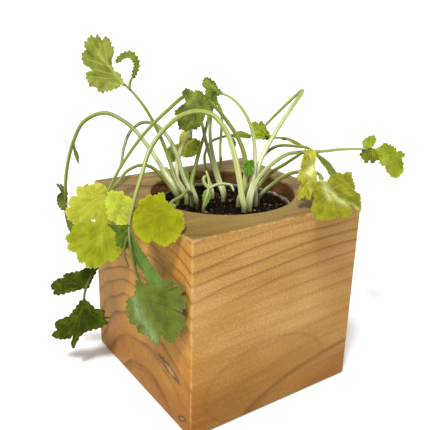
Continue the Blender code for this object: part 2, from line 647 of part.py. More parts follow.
def build_right_leaves():
    leafy_stem(
        "leaf_right_back", "fresh", (14, -10),
        [(16, -6.5, 104.5), (21.5, -3.5, 114), (27, -2, 120.5), (38, 0, 132.5), (48, 1.5, 142),
         (54, 3.5, 146.5), (56, 6, 146.8), (55, 9, 144), (50.5, 14, 137), (43, 21.5, 126),
         (41, 23, 122)],
        (3, 1.4),
        fans=[dict(hub=(41.5, 22, 122.5), tip=(-0.6, 0.6, 0.53), facing=(-0.4, -0.8, 0.45),
                   lobes=[(-175, 8, 30), (-95, 5, 32), (-45, 6, 26), (0, 7, 26), (62, 6.5, 30),
                          (131, 5, 38)],
                   teeth=16, droop=0.1, arch=0.1, samples=24)],
        ribbons=[dict(points=[(43, 20, 121.5), (44, 13, 121), (45, 5, 122), (45.5, -3, 121.5),
                              (45, -10, 120)],
                      width=5, facing=(0.2, -0.25, 0.95), base=0.7, end=0.6, arch=0.5,
                      notch=0.04)],
    )
    leafy_stem(
        "leaf_right_strap", "olive", (11, -5),
        [(18.5, -1, 104), (25.5, 2, 111.5), (30, 1.5, 116.3), (32, -2.5, 119.7),
         (33, -9, 121.8), (35, -15, 122.3), (37.5, -21, 122.5), (39, -27, 120)],
        (2.2, 1.3),
        ribbons=[dict(points=[(38.5, -25, 121), (39.5, -32.5, 118.5), (39.5, -39, 114.5),
                              (38.5, -45, 110)],
                      width=6, facing=(0.1, -0.2, 0.95), base=0.4, end=0.5, arch=0.5,
                      notch=0.05)],
    )
    leafy_stem(
        "leaf_right_far", "fresh", (8, -13.5),
        [(11.5, -12, 104), (16, -12.5, 110), (23, -13, 115), (30, -14, 118.3), (37.5, -15, 118.8),
         (43.5, -17.5, 118.8), (51, -20.5, 119), (60.5, -23, 119.3), (70, -26.5, 119.2),
         (78, -30, 117), (86, -34, 114)],
        (2.7, 1.2),
        stalks=[([(72, -27.3, 118.9), (75, -26.5, 120.5), (77, -26, 122.5)], 1.2, 1.0),
                ([(72, -27.3, 118.9), (74.2, -28.2, 117), (75.5, -29, 115)], 1.2, 1.0)],
        fans=[dict(hub=(77, -26, 122.5), tip=(0.86, 0.06, 0.51), facing=(-0.3, -0.75, 0.6),
                   lobes=[(-149, 4.5, 36), (-78, 4.5, 36), (-11, 5, 34), (40, 4, 34),
                          (139, 3.5, 36)],
                   teeth=12, samples=20),
              dict(hub=(75.5, -29, 115), tip=(-0.75, -0.21, -0.63), facing=(-0.3, -0.75, 0.6),
                   lobes=[(-162, 4.5, 32), (-73, 5.5, 30), (-36, 5.5, 26), (6, 5, 28),
                          (63, 4, 30), (120, 5.5, 34)],
                   teeth=14, samples=20),
              dict(hub=(86, -34, 114), tip=(-0.07, -0.61, -0.79), facing=(-0.3, -0.75, 0.6),
                   lobes=[(-136, 8.5, 20), (-34, 7.5, 28), (0, 11, 24), (42, 10, 26),
                          (86, 9.5, 26), (129, 8.5, 26), (179, 8.5, 28)],
                   teeth=20, droop=0.15, arch=0.15, samples=36)],
    )
    leafy_stem(
        "leaf_right_yellow", "yellow", (15.5, -4),
        [(20, -8, 104), (23.5, -11.5, 109.5), (27, -17, 114.5), (29.5, -22, 119), (31, -26, 122),
         (31, -29.5, 121.5), (26.5, -34, 118)],
        (2.6, 1.2),
        stalks=[([(31, -29, 120.5), (33.5, -31.5, 121.5), (35, -32.5, 124)], 1.4, 1.0)],
        ribbons=[dict(points=[(31.5, -30, 121.5), (27.5, -33, 119.5), (22.5, -37.3, 115),
                              (18.5, -41.5, 110.5), (15, -45.5, 105.3)],
                      width=9, facing=(-0.6, -0.65, 0.4), base=0.6, end=0.7, arch=0.3, teeth=5,
                      notch=0.12)],
    )
    leafy_stem(
        "leaf_right_front", "fresh", (17.5, -7.5),
        [(19, -11, 99.5), (21, -14.5, 103.5), (24, -17.5, 107.5), (29, -20, 110), (34, -23, 111),
         (36.5, -28, 111.5), (35.5, -33, 111.6), (33, -38, 111.3), (29.5, -46, 110.2),
         (24.5, -54.5, 109)],
        (2.6, 1.2),
        fans=[dict(hub=(24.5, -54.5, 108.7), tip=(-0.46, -0.78, -0.43),
                   facing=(0.05, -0.5, 0.86),
                   lobes=[(-153, 10, 18), (-73, 11, 22), (-48, 18.5, 20), (-34, 20, 20),
                          (-18, 18, 18), (0, 16, 20), (29, 12.5, 16), (68, 14, 16),
                          (124, 16, 22), (142, 19, 22), (156, 18, 24), (176, 10.5, 20)],
                   teeth=30, notch=0.04, droop=0.12, arch=0.12, samples=44)],
    )


clear_scene()
planter_parts = make_collection("coriander_planter")
plant_parts = make_collection("coriander_stems_and_leaves")
working = make_collection("working")
roots = []
build_planter(make_material("planed_wood", (0.60, 0.36, 0.15), 0.6))
build_cup(make_material("pale_cup", (0.74, 0.72, 0.66), 0.5))
build_left_leaves()
build_centre_leaves()
build_right_leaves()
build_soil(make_material("dark_peat", (0.035, 0.024, 0.018), 0.95), roots)
bpy.data.collections.remove(working)
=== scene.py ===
import math
import random

import bpy
import numpy as np
from mathutils import Euler, Matrix, Vector, noise


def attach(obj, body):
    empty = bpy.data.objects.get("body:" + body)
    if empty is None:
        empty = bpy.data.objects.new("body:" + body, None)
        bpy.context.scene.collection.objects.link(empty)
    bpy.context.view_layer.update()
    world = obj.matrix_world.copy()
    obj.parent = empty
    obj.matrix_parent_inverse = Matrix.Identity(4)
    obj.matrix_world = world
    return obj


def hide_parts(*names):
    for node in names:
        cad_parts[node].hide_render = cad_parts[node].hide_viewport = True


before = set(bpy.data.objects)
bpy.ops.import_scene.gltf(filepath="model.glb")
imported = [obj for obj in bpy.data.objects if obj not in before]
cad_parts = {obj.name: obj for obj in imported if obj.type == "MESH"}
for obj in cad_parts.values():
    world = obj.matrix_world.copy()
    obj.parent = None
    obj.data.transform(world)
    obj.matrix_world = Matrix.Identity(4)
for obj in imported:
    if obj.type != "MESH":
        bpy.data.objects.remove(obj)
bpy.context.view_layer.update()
mm = 0.001
print("frame loaded")


def deselect():
    bpy.ops.object.select_all(action="DESELECT")


def pick(piece):
    deselect()
    piece.select_set(True)
    bpy.context.view_layer.objects.active = piece


def gridPiece(name, across, along):
    deselect()
    bpy.ops.mesh.primitive_grid_add(x_subdivisions=across, y_subdivisions=along, size=1)
    piece = bpy.context.object
    piece.name = name
    return piece


def readPoints(piece):
    flat = np.empty(len(piece.data.vertices) * 3)
    piece.data.vertices.foreach_get("co", flat)
    return flat.reshape(-1, 3)


# How far across and along a fresh grid each point lies, from 0 to 1.
def gridShares(piece):
    points = readPoints(piece)
    return points[:, 0] + 0.5, points[:, 1] + 0.5


def writePoints(piece, points):
    piece.data.vertices.foreach_set("co", (np.asarray(points) * mm).ravel())
    piece.data.update()


# A value at each point, for the materials to read.
def paint(piece, name, values):
    layer = piece.data.attributes.get(name) or piece.data.attributes.new(name, "FLOAT", "POINT")
    spread = np.zeros(len(piece.data.vertices), dtype=np.float32) + np.asarray(values, dtype=np.float32)
    layer.data.foreach_set("value", spread)


# Closes the seam and the poles of a grid that was rolled up.
def weld(piece, gap=0.000002):
    pick(piece)
    bpy.ops.object.mode_set(mode="EDIT")
    bpy.ops.mesh.select_all(action="SELECT")
    bpy.ops.mesh.remove_doubles(threshold=gap)
    bpy.ops.mesh.normals_make_consistent(inside=False)
    bpy.ops.object.mode_set(mode="OBJECT")


def turnOver(piece):
    pick(piece)
    bpy.ops.object.mode_set(mode="EDIT")
    bpy.ops.mesh.select_all(action="SELECT")
    bpy.ops.mesh.flip_normals()
    bpy.ops.object.mode_set(mode="OBJECT")


def applyAll(piece):
    pick(piece)
    for modifier in list(piece.modifiers):
        bpy.ops.object.modifier_apply(modifier=modifier.name)


def soften(piece, angle=None):
    pick(piece)
    if angle is None:
        bpy.ops.object.shade_smooth()
    else:
        bpy.ops.object.shade_smooth_by_angle(angle=math.radians(angle))


def joined(pieces, name):
    deselect()
    for piece in pieces:
        piece.select_set(True)
    bpy.context.view_layer.objects.active = pieces[0]
    if len(pieces) > 1:
        bpy.ops.object.join()
    pieces[0].name = name
    pieces[0].data.name = name
    return pieces[0]


def dress(piece, material):
    piece.data.materials.clear()
    piece.data.materials.append(material)


def settle(piece, node):
    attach(piece, "root")
    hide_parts(node)


def feed(tree, sockets, feeds):
    for key, value in feeds.items():
        if isinstance(value, bpy.types.NodeSocket):
            tree.links.new(value, sockets[key])
        elif sockets[key].type == "RGBA":
            sockets[key].default_value = (*value, 1)
        else:
            sockets[key].default_value = value


def addNode(tree, kind, feeds, **settings):
    node = tree.nodes.new("ShaderNode" + kind)
    for key, value in settings.items():
        setattr(node, key, value)
    feed(tree, node.inputs, feeds)
    return node


def calc(tree, operation, a, b=0.5, c=0.0):
    return addNode(tree, "Math", {0: a, 1: b, 2: c}, operation=operation).outputs[0]


def times(tree, a, b):
    return calc(tree, "MULTIPLY", a, b)


def plus(tree, a, b):
    return calc(tree, "ADD", a, b)


def minus(tree, a, b):
    return calc(tree, "SUBTRACT", a, b)


def scaled(tree, value, factor, offset):
    return calc(tree, "MULTIPLY_ADD", value, factor, offset)


def both(tree, *parts):
    result = parts[0]
    for part in parts[1:]:
        result = times(tree, result, part)
    return result


def vector(tree, x, y, z=0.0):
    return addNode(tree, "CombineXYZ", {0: x, 1: y, 2: z}).outputs[0]


def lengthOf(tree, value):
    return addNode(tree, "VectorMath", {0: value}, operation="LENGTH").outputs["Value"]


# A soft step from start to end while the value runs from low to high.
def ease(tree, value, low, high, start=0.0, end=1.0):
    feeds = {"Value": value, "From Min": low, "From Max": high, "To Min": start, "To Max": end}
    return addNode(tree, "MapRange", feeds, interpolation_type="SMOOTHSTEP").outputs[0]


def blend(tree, share, a, b, mode="MIX"):
    return addNode(tree, "Mix", {0: share, 6: a, 7: b}, data_type="RGBA", blend_type=mode).outputs[2]


def noiseOf(tree, place, scale, detail=3.0, roughness=0.5):
    feeds = {"Vector": place, "Scale": scale, "Detail": detail, "Roughness": roughness}
    return addNode(tree, "TexNoise", feeds).outputs[0]


def fact(tree, name):
    return addNode(tree, "Attribute", {}, attribute_name=name).outputs["Fac"]


def stretched(tree, place, sizes):
    return addNode(tree, "VectorMath", {0: place, 1: sizes}, operation="MULTIPLY").outputs[0]


def newMaterial(name, **shaderValues):
    material = bpy.data.materials.new(name)
    material.use_nodes = True
    tree = material.node_tree
    shader = tree.nodes["Principled BSDF"]
    for key, value in shaderValues.items():
        shader.inputs[key.replace("_", " ")].default_value = value
    place = addNode(tree, "TexCoord", {}).outputs["Object"]
    return material, tree, shader, place


def newGroup(name, feeds, results):
    group = bpy.data.node_groups.new(name, "ShaderNodeTree")
    for socket, kind in feeds:
        group.interface.new_socket(socket, in_out="INPUT", socket_type="NodeSocket" + kind)
    for socket, kind in results:
        group.interface.new_socket(socket, in_out="OUTPUT", socket_type="NodeSocket" + kind)
    source = group.nodes.new("NodeGroupInput")
    target = group.nodes.new("NodeGroupOutput")
    return group, source.outputs, target.inputs


def useGroup(tree, group, feeds):
    node = tree.nodes.new("ShaderNodeGroup")
    node.node_tree = group
    feed(tree, node.inputs, feeds)
    return node.outputs


def rough(tree, shader, height, strength, distance):
    bump = addNode(tree, "Bump", {"Height": height, "Strength": strength, "Distance": distance})
    tree.links.new(bump.outputs[0], shader.inputs["Normal"])


def between(start, leave, end, arrive, t):
    return (start * (2 * t**3 - 3 * t**2 + 1) + leave * (t**3 - 2 * t**2 + t)
            + end * (3 * t**2 - 2 * t**3) + arrive * (t**3 - t**2))


# A smooth line through the knots with evenly spaced points, and how far along each one is.
def smoothRoute(knots, spacing):
    knots = np.array(knots, dtype=float)
    lengths = np.linalg.norm(np.diff(knots, axis=0), axis=1)
    headings = np.diff(knots, axis=0) / lengths[:, None]
    slopes = [headings[0]]
    for index in range(1, len(knots) - 1):
        before, after = lengths[index - 1], lengths[index]
        slopes.append((headings[index - 1] * after + headings[index] * before) / (before + after))
    slopes.append(headings[-1])
    dense = []
    for index, length in enumerate(lengths):
        leave, arrive = slopes[index] * length, slopes[index + 1] * length
        for t in np.linspace(0, 1, 12, endpoint=False):
            dense.append(between(knots[index], leave, knots[index + 1], arrive, t))
    dense = np.array(dense + [knots[-1]])
    run = np.concatenate([[0], np.cumsum(np.linalg.norm(np.diff(dense, axis=0), axis=1))])
    count = max(6, int(round(run[-1] / spacing)))
    even = np.linspace(0, run[-1], count + 1)
    return np.stack([np.interp(even, run, dense[:, axis]) for axis in range(3)], axis=1), even


def unit(vectors):
    return vectors / np.maximum(np.linalg.norm(vectors, axis=-1, keepdims=True), 1e-9)


# Directions across a line that don't twist as it bends.
def transport(points):
    tangents = unit(np.gradient(points, axis=0))
    side = np.array((0.3, 1.0, 0.1)) if abs(tangents[0][1]) < 0.9 else np.array((1.0, 0.2, 0.1))
    sides = []
    for tangent in tangents:
        side = unit(side - tangent * side.dot(tangent))
        sides.append(side)
    sides = np.array(sides)
    return sides, np.cross(tangents, sides)


# A ribbed stalk: a grid rolled round the line, closed to a point at each end.
def tubePiece(name, points, radii, share, seed, sides=14):
    sidesways, others = transport(points)
    ends = np.clip(np.arange(-1, len(points) + 1), 0, len(points) - 1)
    points, share, sidesways, others = points[ends], share[ends], sidesways[ends], others[ends]
    radii = np.concatenate([[0], radii, [0]])
    tube = gridPiece(name, sides, len(points) - 1)
    u, v = gridShares(tube)
    row = np.rint(v * (len(points) - 1)).astype(int)
    turn = 2 * np.pi * u
    ridge = 1 + 0.06 * np.cos(5 * turn + seed) + 0.03 * np.cos(3 * turn + 0.12 * row + seed)
    radius = (radii[row] * ridge)[:, None]
    writePoints(tube, points[row] + (sidesways[row] * np.cos(turn)[:, None]
                                     + others[row] * np.sin(turn)[:, None]) * radius)
    paint(tube, "along", share[row])
    paint(tube, "ridge", np.cos(5 * turn + seed) * 0.5 + 0.5)
    weld(tube)
    soften(tube)
    return tube


woodCube = {
    "node": "wood_cube", "slot": "wood", "side": 100, "edge": 1.5,
    "boreRadius": 37, "boreFloor": 20, "boreSides": 144, "rimChamfer": 0.7,
    "ringCentreY": -27.5, "ringCentreLean": -0.35, "ringCentreZ": -25,  # the tree's heart, below the block
    "ringGrowth": 0.000769, "ringStart": -0.0055,
    "wander": (0.008, 0.032, 0.032), "wanderBy": 9.0, "thinRings": 7.3, "fade": (0.012, 0.05, 0.05),
    "fibre": (0.035, 1.7, 1.7), "streak": (0.012, 0.33, 0.33), "pores": (0.09, 3.4, 3.4),
    "cloud": (0.02, 0.035, 0.035), "speckle": (0.8, 1.6, 1.6), "bump": 0.00045,
    "endLines": 0.7, "topLines": 0.6, "topGrain": 0.7,
    "early": (0.51, 0.295, 0.095), "middle": (0.37, 0.185, 0.042), "late": (0.15, 0.058, 0.012),
    "endEarly": (0.55, 0.285, 0.054), "endMiddle": (0.385, 0.165, 0.018), "endLate": (0.12, 0.042, 0.008),
    # the top colours: the top's greyer wood, darkened as painted shade
    "topEarly": (0.308, 0.198, 0.055), "topLate": (0.121, 0.065, 0.015), "amber": (0.43, 0.178, 0.016),
    # the bore colours: reddish wood made paler as painted light, and a darker one for grain and painted
    # shade
    "bore": (0.64, 0.33, 0.125), "boreDark": (0.14, 0.062, 0.018), "wearAndHighlight": (0.70, 0.46, 0.19),
    # the edge colour and its share: wear and a painted highlight along the edges
    "wearAndHighlightShare": 0.45,
    "knotLine": (0.075, 0.034, 0.012), "knotCore": (0.56, 0.42, 0.26),
    "figures": [{"x": -5.0, "z": 18.0, "wide": 38.0, "tall": 22.0, "line": 0.2, "fill": 0.08},
                {"x": 75.0, "z": -14.0, "wide": 100.0, "tall": 38.0, "line": 0.5, "fill": 0.42}],
    "knots": [{"y": -30.5, "z": 27.6, "slope": 0.227, "length": 7.6, "width": 1.9,
               "coreFrom": -27.0, "coreTo": -31.5},
              {"y": -42.5, "z": 6.8, "slope": -0.4, "length": 2.6, "width": 1.3,
               "coreFrom": 0.0, "coreTo": -1.0}],
}


def buildWoodCube(values):
    side = values["side"]
    deselect()
    bpy.ops.mesh.primitive_cube_add(size=side * mm, location=(0, 0, side / 2 * mm))
    cube = bpy.context.object
    cube.name = "planter_cube"
    bpy.ops.object.transform_apply(location=True, rotation=True, scale=True)
    edge = cube.modifiers.new("edge", "BEVEL")
    edge.width = values["edge"] * mm
    edge.segments = 4
    applyAll(cube)
    top = side + 6
    deep = top - values["boreFloor"]
    facets, wide, cone = values["boreSides"], values["boreRadius"], values["rimChamfer"]
    bpy.ops.mesh.primitive_cylinder_add(vertices=facets, radius=wide * mm, depth=deep * mm,
                                        location=(0, 0, (top - deep / 2) * mm))
    cutters = [bpy.context.object]
    bpy.ops.mesh.primitive_cone_add(vertices=facets, radius1=wide * mm, radius2=(wide + 2 * cone) * mm,
                                    depth=2 * cone * mm, location=(0, 0, side * mm))
    cutters.append(bpy.context.object)
    for cutter in cutters:
        cut = cube.modifiers.new("cut", "BOOLEAN")
        cut.operation = "DIFFERENCE"
        cut.solver = "EXACT"
        cut.object = cutter
        applyAll(cube)
        bpy.data.objects.remove(cutter, do_unlink=True)
    soften(cube, 25)
    return cube


# How far a point is from a knot in the end grain: 1 at the knot's edge.
def knotReach(tree, x, y, z, knot):
    away = minus(tree, y, knot["y"])
    drop = minus(tree, minus(tree, z, knot["z"]), times(tree, away, knot["slope"]))
    inward = times(tree, ease(tree, x, -49.5, -40.0), 4.0)  # a knot only goes a few mm into the block
    reach = lengthOf(tree, vector(tree, calc(tree, "DIVIDE", away, knot["length"]),
                                  calc(tree, "DIVIDE", drop, knot["width"]), inward))
    spread = noiseOf(tree, vector(tree, x, y, z), 0.9, 4.0, 0.75)
    return plus(tree, reach, scaled(tree, spread, 3.4, -1.7))


def woodMaterial(values):
    material, tree, shader, place = newMaterial("planter_wood", Specular_IOR_Level=0.14)
    point = stretched(tree, place, (1000, 1000, 1000))
    axes = addNode(tree, "SeparateXYZ", {0: point}).outputs
    x, y, z = axes[0], axes[1], axes[2]
    # Growth rings are cylinders round the tree's heart, swayed a little.
    wander = addNode(tree, "TexNoise", {"Vector": stretched(tree, point, values["wander"]),
                                        "Scale": 1.0, "Detail": 2.0}).outputs["Color"]
    sway = addNode(tree, "SeparateXYZ", {0: wander}).outputs
    swayBy = values["wanderBy"]
    fromY = minus(tree, y, scaled(tree, x, values["ringCentreLean"], values["ringCentreY"]))
    fromY = plus(tree, fromY, scaled(tree, sway[0], swayBy, -swayBy / 2))
    fromZ = minus(tree, z, values["ringCentreZ"])
    fromZ = plus(tree, fromZ, scaled(tree, sway[1], swayBy, -swayBy / 2))
    squared = plus(tree, times(tree, fromY, fromY), times(tree, fromZ, fromZ))
    phase = plus(tree, times(tree, squared, values["ringGrowth"]),
                 times(tree, calc(tree, "SQRT", squared), values["ringStart"]))
    knots = [knotReach(tree, x, y, z, knot) for knot in values["knots"]]
    for reach in knots:
        phase = plus(tree, phase, ease(tree, reach, 0.6, 3.2, 0.3, 0.0))
    ring = calc(tree, "FRACT", phase)
    late = times(tree, ease(tree, ring, 0.5, 0.95), ease(tree, ring, 0.96, 1.0, 1.0, 0.0))
    fade = noiseOf(tree, stretched(tree, point, values["fade"]), 1.0, 2.0)
    late = times(tree, calc(tree, "POWER", late, 2.2), ease(tree, fade, 0.3, 0.62, 0.35, 1.0))
    thin = calc(tree, "FRACT", times(tree, phase, values["thinRings"]))
    thin = times(tree, ease(tree, thin, 0.5, 0.95), ease(tree, thin, 0.97, 1.0, 1.0, 0.0))
    # Fibres, pores and blotches all run along the grain, which is X.
    fibre = noiseOf(tree, stretched(tree, point, values["fibre"]), 1.0, 4.0, 0.62)
    streak = noiseOf(tree, stretched(tree, point, values["streak"]), 1.0, 3.0, 0.6)
    pores = noiseOf(tree, stretched(tree, point, values["pores"]), 1.0, 2.0, 0.5)
    cloud = noiseOf(tree, stretched(tree, point, values["cloud"]), 1.0, 2.0)
    speckle = noiseOf(tree, stretched(tree, point, values["speckle"]), 1.0, 3.0, 0.7)
    half = values["side"] / 2
    endMask = ease(tree, calc(tree, "ABSOLUTE", x), half - 1.1, half - 0.4)
    topMask = ease(tree, z, 2 * half - 1.1, 2 * half - 0.3)
    frontMask = ease(tree, y, 0.4 - half, 1.1 - half, 1.0, 0.0)
    amount = scaled(tree, thin, 0.12, times(tree, late, 0.9))
    grain = plus(tree, times(tree, ease(tree, fibre, 0.30, 0.72), 0.30),
                 times(tree, ease(tree, streak, 0.3, 0.75), 0.45))
    side = blend(tree, grain, values["early"], values["middle"])
    faint = times(tree, amount, ease(tree, z, 56.0, 80.0, 0.17, 0.55))
    side = blend(tree, faint, side, values["late"])
    plain = side
    # Flame figures on the front face: an oval line with an amber filling, each over the last.
    for figure in values["figures"]:
        spot = vector(tree, calc(tree, "DIVIDE", minus(tree, x, figure["x"]), figure["wide"]),
                      calc(tree, "DIVIDE", minus(tree, z, figure["z"]), figure["tall"]))
        reach = lengthOf(tree, spot)
        reach = plus(tree, reach, scaled(tree, sway[2], 0.24, -0.12))
        line = times(tree, ease(tree, reach, 0.86, 0.99), ease(tree, reach, 0.99, 1.03, 1.0, 0.0))
        line = both(tree, line, line, figure["line"])
        within = times(tree, ease(tree, reach, 0.6, 1.02, 1.0, 0.0), figure["fill"])
        side = blend(tree, ease(tree, reach, 0.97, 1.0, 1.0, 0.0), side, plain)
        side = blend(tree, times(tree, within, frontMask), side, values["amber"])
        side = blend(tree, times(tree, line, frontMask), side, values["late"])
    end = blend(tree, grain, values["endEarly"], values["endMiddle"])
    end = blend(tree, times(tree, amount, values["endLines"]), end, values["endLate"])
    # The top face: its greyer wood, darkened further as painted shade.
    top = scaled(tree, grain, values["topGrain"], times(tree, amount, values["topLines"]))
    top = blend(tree, top, values["topEarly"], values["topLate"])
    colour = blend(tree, endMask, side, end)
    colour = blend(tree, topMask, colour, top)
    corner = plus(tree, calc(tree, "MAXIMUM", x, y), half)  # distance from the front left edge
    amber = both(tree, ease(tree, corner, 1.0, 19.0, 1.0, 0.0), ease(tree, z, 20.0, 64.0, 1.0, 0.0),
                 ease(tree, streak, 0.3, 0.6, 0.25, 0.75))
    colour = blend(tree, amber, colour, values["amber"])
    for reach, knot in zip(knots, values["knots"]):
        core = both(tree, ease(tree, reach, 0.55, 0.8, 1.0, 0.0), ease(tree, speckle, 0.35, 0.6),
                    ease(tree, y, knot["coreTo"], knot["coreFrom"], 1.0, 0.0))
        line = times(tree, ease(tree, reach, 0.3, 0.8), ease(tree, reach, 0.95, 1.7, 1.0, 0.0))
        colour = blend(tree, times(tree, line, 0.85), colour, values["knotLine"])
        colour = blend(tree, times(tree, core, 0.8), colour, values["knotCore"])
    # Painted shade darkens towards the foot; the blotches and speckles are the wood's own tone;
    # the darker, the redder.
    low = both(tree, ease(tree, z, 0.0, 62.0, 0.66, 1.0), ease(tree, cloud, 0.25, 0.75, 0.86, 1.10),
               ease(tree, speckle, 0.3, 0.7, 0.82, 1.13))
    footShadeAndBlotchTint = addNode(tree, "CombineColor", {0: low, 1: calc(tree, "POWER", low, 1.4),
                                            2: calc(tree, "POWER", low, 2.6)}).outputs[0]
    colour = blend(tree, 1.0, colour, footShadeAndBlotchTint, "MULTIPLY")
    fromAxis = lengthOf(tree, vector(tree, x, y))
    wide, cone = values["boreRadius"], values["rimChamfer"]
    inBore = times(tree, ease(tree, fromAxis, wide + cone / 2, wide + cone, 1.0, 0.0),
                   ease(tree, z, 2 * half - 0.3, 2 * half, 1.0, 0.0))
    # The bore wall: reddish wood made paler as painted light, with darker grain lines.
    wall = blend(tree, ease(tree, scaled(tree, amount, 0.35, fibre), 0.36, 0.66),
                 values["bore"], values["boreDark"])
    # Darker towards +X: painted shade on the bore wall.
    wall = blend(tree, ease(tree, x, 4.0, 30.0, 0.0, 0.8), wall, values["boreDark"])
    colour = blend(tree, inBore, colour, wall)
    # Rubbed edges, lighter from wear and as a painted highlight:
    # the second longest way from the cube's centre is close to half its side.
    absX, absY = calc(tree, "ABSOLUTE", x), calc(tree, "ABSOLUTE", y)
    absZ = calc(tree, "ABSOLUTE", minus(tree, z, half))
    highest = calc(tree, "MAXIMUM", calc(tree, "MAXIMUM", absX, absY), absZ)
    lowest = calc(tree, "MINIMUM", calc(tree, "MINIMUM", absX, absY), absZ)
    total = plus(tree, plus(tree, absX, absY), absZ)
    second = minus(tree, minus(tree, total, highest), lowest)
    wearAndHighlightAt = noiseOf(tree, point, 0.16, 4.0, 0.65)
    wearAndHighlight = ease(tree, plus(tree, second, times(tree, wearAndHighlightAt, 2.4)), half + 0.1, half + 1.2)
    colour = blend(tree, times(tree, wearAndHighlight, values["wearAndHighlightShare"]), colour, values["wearAndHighlight"])
    tree.links.new(colour, shader.inputs["Base Color"])
    gloss = scaled(tree, fibre, 0.22, 0.42)
    tree.links.new(gloss, shader.inputs["Roughness"])
    height = plus(tree, times(tree, fibre, 0.5), times(tree, pores, 0.35))
    height = minus(tree, height, times(tree, late, 0.25))
    rough(tree, shader, height, 0.5, values["bump"])
    return material


cube = buildWoodCube(woodCube)
dress(cube, woodMaterial(woodCube))
settle(cube, woodCube["node"])
print("wooden cube done")


linerCup = {
    "node": "liner_cup", "slot": "cup", "rimZ": 92.8, "rimRadius": 35.6, "footZ": 20.3, "footRadius": 32.0,
    "wall": 1.2, "around": 180, "ragged": 0.8, "seed": 5,
    "paper": (0.42, 0.39, 0.28), "grime": (0.07, 0.05, 0.03), "stain": (0.28, 0.28, 0.12), "bump": 0.0005,
}


def buildCup(values):
    radiusIn, radiusOut = values["footRadius"] - values["wall"], values["footRadius"]
    floorOut, rimZ = values["footZ"], values["rimZ"]
    floorIn = floorOut + values["wall"]
    profile = [(0.0, floorIn), (radiusIn * 0.5, floorIn), (radiusIn - 0.5, floorIn)]
    steps = 16
    slope = values["rimRadius"] - values["footRadius"]
    for index in range(steps + 1):
        share = index / steps
        thin = 0.75 * max(0, share - 0.9) / 0.1  # the wall thins out at the rim
        profile.append((radiusIn + slope * share + thin, floorIn + 0.4 + (rimZ - floorIn - 0.4) * share))
    profile.append((radiusOut + slope - 0.2, rimZ + 0.12))
    for index in range(steps, -1, -1):
        share = index / steps
        profile.append((radiusOut + slope * share, floorOut + 0.4 + (rimZ - floorOut - 0.4) * share))
    profile += [(radiusOut - 0.5, floorOut), (radiusOut * 0.5, floorOut), (0.0, floorOut)]
    profile = np.array(profile)
    cup = gridPiece("liner_rim", values["around"], len(profile) - 1)
    u, v = gridShares(cup)
    row = np.rint(v * (len(profile) - 1)).astype(int)
    turn = 2 * np.pi * u
    radius, height = profile[row, 0], profile[row, 1]
    place = [Vector((math.cos(a) * 2.6, math.sin(a) * 2.6, values["seed"])) for a in turn]
    coarse = np.array([noise.noise(p) for p in place])
    fine = np.array([noise.noise(p * 4.5) for p in place])
    # Only the rim is ragged.
    rim = np.clip((height - rimZ + 6) / 6, 0, 1) ** 2
    height = height + rim * values["ragged"] * (coarse * 0.9 + fine * 0.7)
    radius = radius + rim * 0.25 * fine
    writePoints(cup, np.stack([radius * np.cos(turn), radius * np.sin(turn), height], axis=1))
    weld(cup)
    soften(cup, 50)
    return cup


def cupMaterial(values):
    material, tree, shader, place = newMaterial("liner_paper", Roughness=0.85, Specular_IOR_Level=0.12)
    point = stretched(tree, place, (1000, 1000, 1000))
    axes = addNode(tree, "SeparateXYZ", {0: point}).outputs
    stain = noiseOf(tree, stretched(tree, point, values["stain"]), 1.0, 5.0, 0.7)
    fine = noiseOf(tree, point, 1.3, 3.0)
    low = ease(tree, axes[2], values["rimZ"] - 2.3, values["rimZ"] + 0.6, 0.95, 0.1)  # soiled below the rim
    dirt = ease(tree, plus(tree, stain, times(tree, low, 0.45)), 0.55, 0.85)
    colour = blend(tree, dirt, values["paper"], values["grime"])
    tree.links.new(colour, shader.inputs["Base Color"])
    rough(tree, shader, plus(tree, stain, fine), 0.5, values["bump"])
    return material


cup = buildCup(linerCup)
dress(cup, cupMaterial(linerCup))
settle(cup, linerCup["node"])
print("liner done")


soilBed = {
    "node": "soil", "slot": "peat", "topZ": 91.0, "radius": 33.9, "around": 220, "rings": 70,
    "below": [(33.7, 88.0), (32.4, 60.0), (30.6, 24.0), (15.0, 22.1), (0.0, 22.1)],  # radius and height
    "coarse": 0.75, "fine": 0.5, "seed": 11,
    "crumbs": 1900, "crumbSizes": (0.28, 1.0), "fibres": 70,
    "dark": (0.006, 0.004, 0.003), "brown": (0.075, 0.041, 0.020), "rust": (0.22, 0.13, 0.052),
    "spotScale": 420.0, "patchScale": 95.0, "bumpScale": 1500.0, "bump": 0.0006,
}


def soilHeight(x, y, values):
    place = Vector((x, y, values["seed"]))
    lift = noise.noise(place * 0.16) * values["coarse"] + noise.noise(place * 0.55) * values["fine"]
    edge = max(0.0, math.hypot(x, y) - 30.5)
    return values["topZ"] + 0.35 + lift + 0.12 * edge


def buildSoil(values):
    rings, below = values["rings"], values["below"]
    bed = gridPiece("soil_bed", values["around"], rings + len(below))
    u, v = gridShares(bed)
    row = np.rint(v * (rings + len(below))).astype(int)
    turn = -2 * np.pi * u
    radius = np.where(row <= rings, values["radius"] * row / rings, values["radius"])
    x, y = radius * np.cos(turn), radius * np.sin(turn)
    z = np.array([soilHeight(a, b, values) for a, b in zip(x, y)])
    for extra, (wide, height) in enumerate(below, 1):
        here = row == rings + extra
        x[here], y[here], z[here] = wide * np.cos(turn[here]), wide * np.sin(turn[here]), height
    writePoints(bed, np.stack([x, y, z], axis=1))
    paint(bed, "tone", 0.25)
    weld(bed)
    soften(bed)
    return bed


# Ten lumps that the crumbs are copied from, the first four finer.
def crumbShapes(seed):
    shapes = []
    for number in range(10):
        deselect()
        bpy.ops.mesh.primitive_ico_sphere_add(subdivisions=2 if number < 4 else 1, radius=1)
        shape = bpy.context.object
        points = [Vector(p) for p in readPoints(shape)]
        moved = [p * (1 + 0.45 * noise.noise(p * 1.4 + Vector((number * 7, seed, 0)))) for p in points]
        shape.data.vertices.foreach_set("co", np.array(moved).ravel())
        shapes.append(shape)
    return shapes


